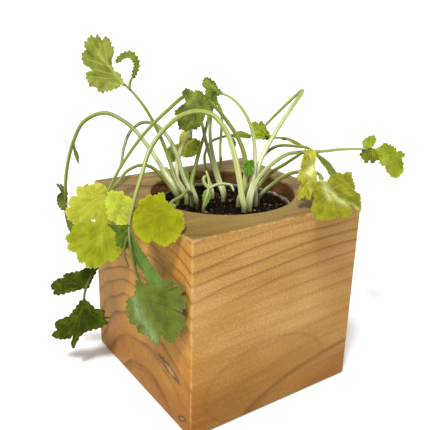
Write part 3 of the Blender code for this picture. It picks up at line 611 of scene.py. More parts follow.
def buildCrumbs(values):
    dice = random.Random(values["seed"])
    shapes = crumbShapes(values["seed"])
    crumbs = []
    small, large = values["crumbSizes"]
    for number in range(values["crumbs"]):
        size = small + (large - small) * dice.random() ** 2.6
        shape = shapes[dice.randrange(4) if size > 1.1 else 4 + dice.randrange(6)]
        crumb = shape.copy()
        crumb.data = shape.data.copy()
        away = (33.2 - size) * math.sqrt(dice.random())
        turn = dice.uniform(0, 2 * math.pi)
        x, y = away * math.cos(turn), away * math.sin(turn)
        spin = Euler([dice.uniform(0, 6.3) for _ in range(3)]).to_matrix().to_4x4()
        scale = Matrix.Diagonal((size, size * dice.uniform(0.5, 1), size * dice.uniform(0.45, 0.9), 1))
        lift = soilHeight(x, y, values) + size * dice.uniform(-0.1, 0.45)
        crumb.data.transform(Matrix.Scale(mm, 4) @ Matrix.Translation((x, y, lift)) @ spin @ scale)
        bpy.context.scene.collection.objects.link(crumb)
        paint(crumb, "tone", dice.random())
        crumbs.append(crumb)
    for shape in shapes:
        bpy.data.objects.remove(shape, do_unlink=True)
    # Short bent fibres lie on the crumbs.
    for number in range(values["fibres"]):
        away, turn, heading = 31 * math.sqrt(dice.random()), dice.uniform(0, 6.3), dice.uniform(0, 6.3)
        x, y, bend = away * math.cos(turn), away * math.sin(turn), dice.uniform(-0.5, 0.5)
        line = []
        for step in range(6):
            line.append((x, y, soilHeight(x, y, values) + 0.35 + 0.5 * math.sin(step * 0.63)))
            x, y = x + 0.95 * math.cos(heading), y + 0.95 * math.sin(heading)
            heading += bend
            if math.hypot(x, y) > 32.5:
                break
        if len(line) > 2:
            steps = np.linspace(0, 1, len(line))
            fibre = tubePiece("soil_fibre", np.array(line), 0.16 - 0.08 * steps, steps, number, 5)
            paint(fibre, "tone", dice.uniform(0.6, 1.0))
            crumbs.append(fibre)
    made = joined(crumbs, "soil_crumbs")
    soften(made, 35)
    return made


def soilMaterial(values):
    material, tree, shader, place = newMaterial("coir_peat", Roughness=0.93, Specular_IOR_Level=0.05)
    tone = fact(tree, "tone")
    spots = noiseOf(tree, place, values["spotScale"], 4.0, 0.7)
    wide = noiseOf(tree, place, values["patchScale"], 2.0)
    share = scaled(tree, spots, 0.6, scaled(tree, tone, 0.6, -0.32))
    colour = blend(tree, ease(tree, share, 0.1, 0.75), values["dark"], values["brown"])
    # Only the palest crumbs, and only in patches, are rusty.
    rust = times(tree, ease(tree, tone, 0.84, 0.95), ease(tree, wide, 0.25, 0.45))
    colour = blend(tree, times(tree, rust, 0.85), colour, values["rust"])
    tree.links.new(colour, shader.inputs["Base Color"])
    rough(tree, shader, noiseOf(tree, place, values["bumpScale"], 3.0, 0.7), 0.8, values["bump"])
    return material


soil = buildSoil(soilBed)
crumbs = buildCrumbs(soilBed)
peat = soilMaterial(soilBed)
for piece in (soil, crumbs):
    dress(piece, peat)
    settle(piece, soilBed["node"])
print("soil done")


def bladeAxes(tip, facing):
    normal = unit(np.array(facing, dtype=float))
    forward = np.array(tip, dtype=float)
    forward = unit(forward - normal * forward.dot(normal))
    return forward, np.cross(normal, forward), normal


# An open blade gets its thickness behind the face, and its back is marked.
def thicken(piece, normal, thickness):
    weld(piece)
    normals = np.empty(len(piece.data.polygons) * 3)
    piece.data.polygons.foreach_get("normal", normals)
    if (normals.reshape(-1, 3) @ normal).sum() < 0:
        turnOver(piece)
    count = len(piece.data.vertices)
    wall = piece.modifiers.new("wall", "SOLIDIFY")
    wall.thickness = thickness * mm
    wall.offset = -1
    applyAll(piece)
    paint(piece, "under", np.arange(len(piece.data.vertices)) >= count)
    soften(piece, 60)


# A smooth closed outline through the knots.
def closedLine(knots, steps=8):
    knots = np.array(knots, dtype=float)
    ahead = np.roll(knots, -1, axis=0) - knots
    lengths = np.linalg.norm(ahead, axis=1)[:, None]
    before = np.roll(lengths, 1, axis=0)
    headings = ahead / lengths
    slopes = (np.roll(headings, 1, axis=0) * lengths + headings * before) / (lengths + before)
    leave, arrive = slopes * lengths, np.roll(slopes, -1, axis=0) * lengths
    rows = [between(knots, leave, np.roll(knots, -1, axis=0), arrive, t)
            for t in np.linspace(0, 1, steps, endpoint=False)]
    return np.stack(rows, axis=1).reshape(-1, 2)


bladeTissue = {
    "thickness": 0.4, "mottle": 130.0, "fine": 900.0, "veinPitch": 0.52, "netScale": 1050.0,
    "patch": 210.0, "withered": (0.13, 0.06, 0.018), "bump": 0.0005,
}


def ribDistance(x, y, ribs):
    nearest = np.full(len(x), 99.0)
    for rib in ribs:
        for start, end in zip(rib[:-1], rib[1:]):
            run = np.subtract(end, start)
            t = np.clip(((x - start[0]) * run[0] + (y - start[1]) * run[1]) / run.dot(run), 0, 1)
            nearest = np.minimum(nearest, np.hypot(x - start[0] - t * run[0], y - start[1] - t * run[1]))
    return nearest


# A leaflet: rings of a grid run from its centre out to a toothed rim.
def fanPiece(name, fan, seed):
    forward, side, normal = bladeAxes(fan["tip"], fan["facing"])
    dense = closedLine(fan["outline"])
    dense = np.vstack([dense, dense[:1]])
    run = np.concatenate([[0], np.cumsum(np.linalg.norm(np.diff(dense, axis=0), axis=1))])
    teeth = max(8, int(round(run[-1] / fan.get("pitch", 1.9))))
    columns = teeth * 5
    even = np.linspace(0, run[-1], columns + 1)
    rim = np.stack([np.interp(even, run, dense[:, axis]) for axis in (0, 1)], axis=1)
    heading = np.roll(rim[:-1], -2, axis=0) - np.roll(rim[:-1], 2, axis=0)
    outward = unit(np.stack([heading[:, 1], -heading[:, 0]], axis=1))
    outward = np.vstack([outward, outward[:1]])
    around = 2 * np.pi * even / run[-1]
    beat = np.abs(np.sin(teeth * around / 2 + 0.6 * np.sin(3 * around)))
    size = 1 + 0.5 * np.sin(11 * around + seed) * np.sin(5 * around + seed * 2)
    rim = rim + outward * (fan.get("bite", 0.4) * size * (beat ** 0.7 - 0.65))[:, None]
    rim[-1] = rim[0]
    # The rim goes round the centre one way only, so the blade can't fold on itself.
    centre = np.array(fan["centre"], dtype=float)
    spoke = rim - centre
    reach = np.hypot(spoke[:, 0], spoke[:, 1])
    angle = np.unwrap(np.arctan2(spoke[:, 1], spoke[:, 0]))
    way = np.sign(angle[-1] - angle[0])
    angle = angle * way
    ahead = np.minimum(np.maximum.accumulate(angle), angle[-1])
    behind = np.maximum(np.minimum.accumulate(angle[::-1])[::-1], angle[0])
    steady = np.linspace(angle[0], angle[-1], len(angle))
    angle = (0.495 * ahead + 0.495 * behind + 0.01 * steady) * way
    rim = centre + np.stack([np.cos(angle), np.sin(angle)], axis=1) * reach[:, None]
    rings = max(8, int(round(np.linalg.norm(rim - centre, axis=1).max() / 0.65)))
    piece = gridPiece(name, columns, rings)
    u, v = gridShares(piece)
    column = np.rint((1 - u) * columns).astype(int)
    share = v ** 0.85
    x, y = (centre + (rim[column] - centre) * share[:, None]).T
    across = ribDistance(x, y, fan["ribs"])
    down = np.hypot(x - fan["base"][0], y - fan["base"][1])
    scale = fan["scale"]
    # Droop along the leaflet, arch across it, a cup round each rib, a wavy rim and a groove at the rib.
    z = -fan.get("droop", 0.1) * np.maximum(x, 0) ** 2 / scale - fan.get("arch", 0.1) * y**2 / scale
    z = z + fan.get("cup", 0.6) * (np.minimum(across, 3.0) / 3.0) ** 1.5
    turn = around[column]
    z = z + fan.get("wave", 0.45) * share**4 * np.sin(12 * turn + 2 * np.sin(5 * turn + seed))
    lumps = np.array([noise.noise(Vector((a, b, seed * 3)) * 0.17) for a, b in zip(x, y)])
    z = z + lumps * fan.get("relief", 1.3) * share
    z = z + fan.get("ridge", -0.25) * np.exp(-((across / 0.5) ** 2)) * (1 - 0.55 * share)
    hub = np.array(fan["hub"], dtype=float) + normal * 0.2
    writePoints(piece, hub + x[:, None] * forward + y[:, None] * side + z[:, None] * normal)
    # Pale sheen lines: partly the leaf's own paler tissue, partly a painted highlight.
    pale = np.exp(-((ribDistance(x, y, fan.get("paleSheen", [])) / fan.get("paleSheenWidth", 2.0)) ** 2))
    paint(piece, "across", across)
    paint(piece, "down", down)
    paint(piece, "edge", v)
    paint(piece, "pale", pale)
    thicken(piece, normal, bladeTissue["thickness"])
    return piece


# A narrow leaf or a rolled leaflet: a grid along its own midrib.
def ribbonPiece(name, ribbon, seed):
    points, run = smoothRoute(ribbon["points"], 0.55)
    count = len(points)
    tangents = unit(np.gradient(points, axis=0))
    facing = unit(np.array(ribbon["facing"], dtype=float))
    normals = unit(facing - tangents * (tangents @ facing)[:, None])
    sides = np.cross(normals, tangents)
    share = np.linspace(0, 1, count)
    base, end = ribbon.get("base", 0.5), ribbon.get("end", 0.4)
    taper = np.where(share < 0.6, base + (1 - base) * np.sin(np.pi * np.minimum(share / 0.6, 1) / 2),
                     end + (1 - end) * np.cos(np.pi * (share - 0.6) / 0.8))
    taper = taper * np.sqrt(np.clip(1 - ((share - 0.9) / 0.1).clip(0) ** 2, 0.0, 1))
    taper = taper * np.sqrt(np.clip(share / 0.06, 0.05, 1))
    width = ribbon["width"] / 2 * taper
    piece = gridPiece(name, 16, count - 1)
    u, v = gridShares(piece)
    row = np.rint(v * (count - 1)).astype(int)
    across = 1 - 2 * u
    beat = np.abs(np.sin(np.pi * run[row] / ribbon.get("pitch", 2.0) + np.sign(across) + seed)) ** 0.7
    tooth = ribbon.get("bite", 0.5) * (beat - 0.7) * np.minimum(1, width[row])
    half = width[row] + tooth * np.abs(across) ** 2
    back = -ribbon.get("arch", 0.2) * np.abs(across) ** 1.5 * width[row]
    back = back + 0.35 * np.abs(across) ** 3 * np.sin(run[row] / 1.3 + seed + np.sign(across))
    back = back - 0.2 * np.exp(-((across * half / 0.4) ** 2))
    writePoints(piece, points[row] + sides[row] * (across * half)[:, None]
                + normals[row] * (back + 0.2)[:, None])
    paint(piece, "across", np.abs(across) * width[row])
    paint(piece, "down", run[row])
    paint(piece, "edge", np.abs(across))
    thicken(piece, facing, bladeTissue["thickness"])
    return piece


def makeLeafGroup(values):
    group, feeds, results = newGroup(
        "leafLook", [("Light", "Color"), ("Deep", "Color"), ("Rib", "Color"), ("Margin", "Color"),
                     ("Back", "Color"), ("PaleSheen", "Color"), ("Wither", "Float"), ("Lines", "Float")],
        [("Color", "Color"), ("Height", "Float"), ("Gloss", "Float")])
    place = addNode(group, "TexCoord", {}).outputs["Object"]
    across, down, edge = fact(group, "across"), fact(group, "down"), fact(group, "edge")
    mottle = noiseOf(group, place, values["mottle"], 4.0, 0.6)
    fine = noiseOf(group, place, values["fine"], 3.0, 0.6)
    share = scaled(group, mottle, 1.5, scaled(group, edge, 0.25, -0.42))
    share = plus(group, share, scaled(group, fine, 0.35, -0.175))
    colour = blend(group, ease(group, share, 0.2, 0.8), feeds["Deep"], feeds["Light"])
    # Side veins slant off the rib at an even pitch, and a fine net fills between them.
    slant = minus(group, down, times(group, across, 1.15))
    slant = plus(group, slant, times(group, mottle, 1.2))
    beat = calc(group, "FRACT", times(group, slant, values["veinPitch"]))
    beat = calc(group, "ABSOLUTE", minus(group, beat, 0.5))
    vein = times(group, ease(group, beat, 0.0, 0.13, 1.0, 0.0), ease(group, edge, 0.55, 1.0, 1.0, 0.35))
    limit = scaled(group, edge, -0.34, 0.56)
    midrib = ease(group, calc(group, "DIVIDE", across, limit), 0.25, 1.0, 1.0, 0.0)
    cells = addNode(group, "TexVoronoi", {"Vector": place, "Scale": values["netScale"]},
                    feature="DISTANCE_TO_EDGE").outputs[0]
    net = ease(group, cells, 0.0, 0.16, 1.0, 0.0)
    lines = calc(group, "MAXIMUM", midrib, times(group, vein, 0.55))
    lines = calc(group, "MAXIMUM", lines, times(group, net, 0.14))
    colour = blend(group, times(group, lines, feeds["Lines"]), colour, feeds["Rib"])
    # Painted sheen along the pale sheen lines, broken by the veins: paler tissue and a painted highlight.
    broken = plus(group, mottle, times(group, vein, -0.45))
    sheen = times(group, fact(group, "pale"), ease(group, broken, 0.2, 0.6, 0.15, 0.95))
    colour = blend(group, sheen, colour, feeds["PaleSheen"])
    rim = ease(group, scaled(group, mottle, 0.2, edge), 0.93, 1.12)
    colour = blend(group, times(group, rim, 0.75), colour, feeds["Margin"])
    patch = noiseOf(group, place, values["patch"], 3.0, 0.7)
    dry = plus(group, scaled(group, edge, 0.18, patch), times(group, feeds["Wither"], 0.35))
    brown = ease(group, dry, 0.88, 1.02)
    colour = blend(group, times(group, brown, 0.8), colour, values["withered"])
    colour = blend(group, times(group, fact(group, "under"), 0.75), colour, feeds["Back"])
    group.links.new(colour, results["Color"])
    height = scaled(group, fine, 0.25, times(group, lines, -0.55))
    height = plus(group, height, times(group, mottle, 0.4))
    group.links.new(height, results["Height"])
    group.links.new(scaled(group, mottle, 0.3, 0.30), results["Gloss"])
    return group


leafGroup = makeLeafGroup(bladeTissue)


def leafMaterial(name, look):
    material, tree, shader, _ = newMaterial(
        name, Specular_IOR_Level=look.get("shine", 0.16), Subsurface_Weight=0.12,
        Subsurface_Radius=(0.5, 0.7, 0.15), Subsurface_Scale=0.0012)
    light = look["light"]
    back = look.get("back", tuple(0.75 * value + 0.05 for value in light))
    feeds = {"Light": light, "Deep": look["deep"], "Rib": look["rib"], "Back": back,
             "Margin": look.get("margin", light), "PaleSheen": look.get("paleSheen", look["rib"]),
             "Wither": look.get("wither", 0.0), "Lines": look.get("lines", 0.45)}
    found = useGroup(tree, leafGroup, feeds)
    tree.links.new(found["Color"], shader.inputs["Base Color"])
    tree.links.new(found["Gloss"], shader.inputs["Roughness"])
    rough(tree, shader, found["Height"], 0.45, bladeTissue["bump"])
    return material


stemTissue = {
    "base": (0.95, 0.97, 0.56), "glint": (0.70, 0.75, 0.30), "whiten": 0.45, "bump": 0.0003,
    "footFrom": 0.0945, "footTo": 0.1035, "foot": (0.10, 0.105, 0.016),  # dull green at the soil
    "rootZ": 91, "rootRise": (-6, 0.8, 2.6),
}


def makeStemGroup(values):
    group, feeds, results = newGroup(
        "stemLook", [("Base", "Color"), ("Top", "Color"), ("Shade", "Color"), ("Whiten", "Float")],
        [("Color", "Color"), ("Height", "Float")])
    place = addNode(group, "TexCoord", {}).outputs
    along, ridge = fact(group, "along"), fact(group, "ridge")
    streak = noiseOf(group, stretched(group, place["UV"], (13.0, 1.3, 1.0)), 1.0, 3.0, 0.6)
    cloud = noiseOf(group, place["Object"], 90.0, 2.0)
    rise = scaled(group, cloud, 0.25, minus(group, along, 0.12))
    green = ease(group, rise, 0.0, feeds["Whiten"])
    colour = blend(group, green, feeds["Base"], feeds["Top"])
    dull = times(group, ease(group, streak, 0.38, 0.60), scaled(group, green, 0.38, 0.4))
    colour = blend(group, dull, colour, feeds["Shade"])
    glint = times(group, calc(group, "POWER", ridge, 2.5), 0.3)
    colour = blend(group, glint, colour, values["glint"])
    height = addNode(group, "SeparateXYZ", {0: place["Object"]}).outputs[2]
    height = scaled(group, streak, 0.006, height)
    foot = times(group, ease(group, height, values["footFrom"], values["footTo"], 1.0, 0.0), 0.88)
    colour = blend(group, foot, colour, values["foot"])
    group.links.new(colour, results["Color"])
    group.links.new(plus(group, streak, times(group, ridge, 0.6)), results["Height"])
    return group


stemGroup = makeStemGroup(stemTissue)


def stemMaterial(name, look):
    material, tree, shader, _ = newMaterial(
        name, Roughness=0.32, Specular_IOR_Level=0.32, Subsurface_Weight=0.2,
        Subsurface_Radius=(0.8, 1.0, 0.3), Subsurface_Scale=0.0015)
    feeds = {"Base": look.get("base", stemTissue["base"]), "Top": look["top"],
             "Shade": look["shade"], "Whiten": look.get("whiten", stemTissue["whiten"])}
    found = useGroup(tree, stemGroup, feeds)
    tree.links.new(found["Color"], shader.inputs["Base Color"])
    rough(tree, shader, found["Height"], 0.3, stemTissue["bump"])
    return material


# One leafy stem: its stalks are one piece and its blades another, both in place of its plain solid.
def growLeaf(leaf, number):
    name = leaf["node"]
    seed = number * 1.7
    root = [(*leaf["root"], stemTissue["rootZ"] + rise) for rise in stemTissue["rootRise"]]
    stems = [dict(route=root + leaf["route"], widths=leaf["widths"])] + leaf.get("stalks", [])
    tubes, blades = [], []
    for index, stem in enumerate(stems):
        points, run = smoothRoute(stem["route"], 1.1)
        share = run / run[-1]
        radii = (stem["widths"][0] + (stem["widths"][1] - stem["widths"][0]) * share) / 2
        radii = radii * np.clip((1.02 - share) / 0.03, 0.45, 1)
        along = share if index == 0 else 0.85 + 0.15 * share
        tubes.append(tubePiece(f"{name}_stem_{index}", points, radii, along, seed + index))
    stalks = joined(tubes, name + "_stalks")
    dress(stalks, stemMaterial(name + "_stalk_green", leaf["stemLook"]))
    settle(stalks, name)
    for index, blade in enumerate(leaf.get("fans", []) + leaf.get("ribbons", [])):
        build = fanPiece if "hub" in blade else ribbonPiece
        piece = build(f"{name}_blade_{index}", blade, seed + 2.3 * index)
        dress(piece, leafMaterial(f"{name}_green_{index}", blade["look"]))
        blades.append(piece)
    if blades:
        settle(joined(blades, name + "_blades"), name)
    print(name, "done")


# A stem starts at its root, follows its route and narrows by its widths; stalks branch off it.
# A fan lies in a plane through its hub, points along tip and looks along facing. Its outline, ribs and
# pale sheen lines (paler tissue with a painted highlight) are drawn in that plane in mm from the hub,
# and its rim has a tooth every pitch, bite deep.
# A ribbon follows its own points, and a look gives the greens.
leafTopLeft = {
    "node": "leaf_top_left", "slot": "olive_leaf", "root": (-14.5, 11.5), "widths": (2.7, 1.2),
    "stemLook": {"top": (0.2, 0.24, 0.012), "shade": (0.1, 0.125, 0.004), "base": (0.92, 0.95, 0.5),
                 "whiten": 0.5},
    "route": [(-19, 14.5, 103.5), (-20, 20, 114), (-22.5, 28, 128.5), (-26, 35, 139.5),
              (-31.5, 45.1, 149.6), (-33.2, 47.6, 151.6)],
    "stalks": [{"route": [(-31, 42, 148), (-30, 43, 151), (-28.5, 43, 154)], "widths": (1.6, 1.2)}],
    "fans": [
        {"hub": (-39.5, 54, 161), "tip": (-0.14, 0.37, 0.92), "facing": (-0.64, -0.74, 0.21), "droop": 0.15,
         "arch": 0.12, "scale": 16, "centre": (-4.7, -0.4), "base": (-14.9, -7.2), "pitch": 2.6,
         "bite": 1.05, "ridge": 0.45, "cup": 0.7, "paleSheenWidth": 0.9,
         "paleSheen": [[(-14.9, -7.2), (-5.8, -3.5), (4.6, 1)], [(-14.6, -6.3), (-11.4, 0)]],
         "ribs": [[(-14.9, -7.2), (-5.8, -3.5), (4.6, 1), (13.4, 2.8)], [(0.7, -0.7), (12.7, -1)],
             [(-2.3, -2), (3.7, -2.8), (10.2, -4.8)], [(-3.1, -2.1), (2, 5.3), (5.3, 9.5)], [(-9, -4.7),
             (-2.7, 4.9)], [(-11, -5.6), (-8.1, 2), (-4.5, 10.5)], [(-11.7, -5.4), (-12.1, 0.2),
             (-13.8, 5.2)]],
         "outline": [(-14.9, -7.2), (-12.1, -6.7), (-9.5, -6.7), (-7.9, -6.3), (-6.7, -4.9), (-4.9, -4),
             (-2.6, -4), (-0.6, -4.5), (1.2, -6), (3.1, -6.9), (4.8, -7.6), (6.2, -6.7), (8.2, -7.4),
             (9.1, -6.6), (10.6, -6.4), (11.6, -5.2), (11.4, -3.6), (10.4, -3.1), (11.4, -2.4),
             (13.1, -1.9), (14.1, -1.1), (13.7, 0.1), (12.9, 0.8), (14.4, 1.1), (14.9, 2), (14.8, 3.2),
             (14.2, 4.2), (12.8, 4.7), (13, 5.9), (11.9, 6.6), (10.1, 7), (8.8, 6.7), (6.8, 5.7),
             (8.1, 6.8), (8.2, 8.6), (6.9, 9.6), (5.2, 10.3), (2.6, 10.3), (1.1, 9.7), (0, 8.3),
             (-1.5, 7.2), (-2.4, 7.3), (-2, 9.2), (-2.6, 10.5), (-4.2, 11.5), (-6, 11.5), (-7.3, 10.7),
             (-9, 11.2), (-10.2, 9.7), (-10.6, 8.2), (-12.3, 7.6), (-13.8, 6.9), (-14.8, 5.2), (-14.3, 3.4),
             (-15.2, 2.7), (-15.1, 1.3), (-14.8, -0.4), (-15.1, -1.5), (-14.7, -3.6), (-13.7, -4.7),
             (-14.9, -6.2)],
         "look": {"light": (0.261, 0.286, 0.048), "deep": (0.129, 0.144, 0.009),
                  "rib": (0.341, 0.374, 0.077), "margin": (0.211, 0.24, 0.029), "lines": 0.6,
                  "shine": 0.1}},
    ],
    "ribbons": [
        {"width": 3.6, "facing": (-0.54, -0.77, 0.34), "base": 0.55, "arch": 0.2, "end": 0.75, "pitch": 2,
         "bite": 1.3,
         "points": [(-28.5, 43, 153), (-27.5, 42, 156.5), (-26.5, 42, 161), (-28, 45, 165), (-31, 49, 164),
             (-33.5, 51, 160.5)],
         "look": {"light": (0.193, 0.235, 0.016), "deep": (0.071, 0.1, 0.005),
                  "rib": (0.257, 0.299, 0.032)}},
    ],
}
growLeaf(leafTopLeft, 1)

leafLeftArch = {
    "node": "leaf_left_arch", "slot": "dark_leaf", "root": (-16, 17.5), "widths": (2.7, 1.3),
    "stemLook": {"top": (0.21, 0.24, 0.02), "shade": (0.1, 0.125, 0.006)},
    "route": [(-19.5, 26.5, 106), (-24, 36, 118.5), (-31.5, 46, 130), (-40, 54, 134.5), (-49.5, 59, 130),
              (-56.5, 59, 119), (-61, 56.5, 109), (-65, 52, 95), (-66.5, 47, 80), (-63, 39, 66),
              (-60, 33, 56), (-65, 31, 47), (-65.6, 32.7, 40), (-65.8, 32.3, 37.2)],
    "stalks": [{"route": [(-62.5, 31.7, 51.5), (-63.7, 32.1, 46.9), (-65, 34.1, 48)],
               "widths": (1.6, 1.2)}],
    "fans": [
        {"hub": (-66.3, 50.6, 89.5), "tip": (-0.08, 0.42, 0.9), "facing": (-0.56, -0.77, 0.31),
         "scale": 11.5, "centre": (5.1, -1.6), "base": (2.2, -1.9), "pitch": 2, "bite": 0.7,
         "ribs": [[(2.2, -1.9), (6.4, -0.1), (10.4, 1.3)], [(2.2, -1.9), (1.4, 3.2)]],
         "outline": [(11.3, 1.5), (8.4, 0.6), (5.7, 0.1), (4.3, 2.4), (2.1, 3.7), (-0.6, 3.8), (-3.1, 2.4),
             (-4.1, 0.6), (-2.2, -0.9), (2.2, -2.1), (6.6, -3.2), (8.9, -1.7)],
         "look": {"light": (0.122, 0.136, 0.017), "deep": (0.054, 0.066, 0.003),
                  "rib": (0.169, 0.185, 0.032)}},
        {"hub": (-69, 37, 50), "tip": (-0.79, 0.53, -0.31), "facing": (-0.61, -0.71, 0.35), "droop": 0.25,
         "arch": 0.15, "scale": 13, "centre": (0, -1.3), "base": (-5.8, 5.2), "pitch": 3, "bite": 0.84,
         "ribs": [[(-5.8, 5.2), (1, 0.4), (13, -1.1)], [(-1.6, 2.3), (4.4, -3.5)], [(-3.6, 3.7), (3.8, 3.2),
             (11.7, 4.1)], [(-5.8, 5.2), (-10.1, 0.4), (-13.5, -3.4)], [(-4.6, 4.3), (-4.2, -0.6),
             (-5.7, -4)]],
         "outline": [(-7.9, 4), (-10.5, 1.1), (-12.9, -1.2), (-14.5, -3.8), (-9.6, -4.8), (-8.1, -4.9),
             (-5.9, -4.6), (-2.2, -4.7), (2.1, -5), (5.2, -4.4), (3.9, -3.3), (7.8, -3.6), (12, -2.2),
             (14.4, -1.1), (14.2, 0.3), (12, 2.4), (14, 3), (12, 4.7), (9.1, 5), (4.3, 4.9), (0, 5.2),
             (-3.1, 5.2), (-6, 5.8)],
         "look": {"light": (0.072, 0.098, 0.003), "deep": (0.017, 0.029, 0.003),
                  "rib": (0.091, 0.122, 0.005), "margin": (0.044, 0.042, 0.003), "shine": 0.03,
                  "wither": 0.22}},
        {"hub": (-69, 31, 31), "tip": (-0.37, -0.08, -0.93), "facing": (-0.62, -0.72, 0.31), "droop": 0.2,
         "arch": 0.18, "scale": 17.5, "centre": (-0.9, 1.7), "base": (-9.7, -0.8), "pitch": 3.2,
         "bite": 0.84,
         "ribs": [[(-9.7, -0.8), (-2.4, -0.9), (6.7, -6), (14.8, -12.5)], [(-0.4, -1.5), (7.6, -12.6)],
             [(-2.4, -0.9), (6.9, -2.8), (14.1, -6.5)], [(-7.4, -0.7), (4.5, 0.4), (17.4, -0.8)],
             [(-9.7, -0.8), (-4.2, 4.8), (-1.1, 13.7)], [(-7.8, 0.7), (-5.4, 6.8), (-6.1, 11.6)]],
         "outline": [(-9.6, -1.8), (-6, -3.2), (-1.7, -5.1), (1.5, -6.4), (4.1, -10), (7, -12.7),
             (9, -13.3), (10.3, -11.1), (13.4, -13.1), (15.5, -13.4), (16.2, -10.2), (14.6, -6.1),
             (12.9, -2.5), (9.9, -1.3), (12.8, -1.2), (16.3, -1.6), (18.5, -1.4), (18, 0), (14, 1.2),
             (9.5, 2.8), (7, 4.7), (4.8, 7.7), (2.6, 11.3), (0, 14), (-2, 15.3), (-2.4, 12.9), (-4.5, 15),
             (-4.1, 12.1), (-6.5, 12.1), (-7.4, 10.9), (-7.1, 7.5), (-8.3, 4.2), (-9.6, 1.5), (-10.2, 0.2)],
         "look": {"light": (0.073, 0.102, 0.003), "deep": (0.019, 0.028, 0.003),
                  "rib": (0.096, 0.131, 0.005), "margin": (0.04, 0.037, 0.003), "shine": 0.03,
                  "wither": 0.2}},
    ],
    "ribbons": [
        {"width": 4, "facing": (-0.75, 0.3, 0.5), "arch": 0.5,
         "points": [(-57, 58.5, 120), (-57.5, 55.5, 115), (-57, 52, 109.5)],
         "look": {"light": (0.106, 0.136, 0.016), "deep": (0.057, 0.079, 0.008),
                  "rib": (0.171, 0.214, 0.027)}},
        {"width": 4.5, "facing": (-0.6, -0.7, 0.35), "arch": 0.4,
         "points": [(-66.5, 47, 82), (-65.5, 44, 77), (-64, 42, 72.5)],
         "look": {"light": (0.106, 0.136, 0.016), "deep": (0.057, 0.079, 0.008),
                  "rib": (0.171, 0.214, 0.027)}},
    ],
}
growLeaf(leafLeftArch, 2)

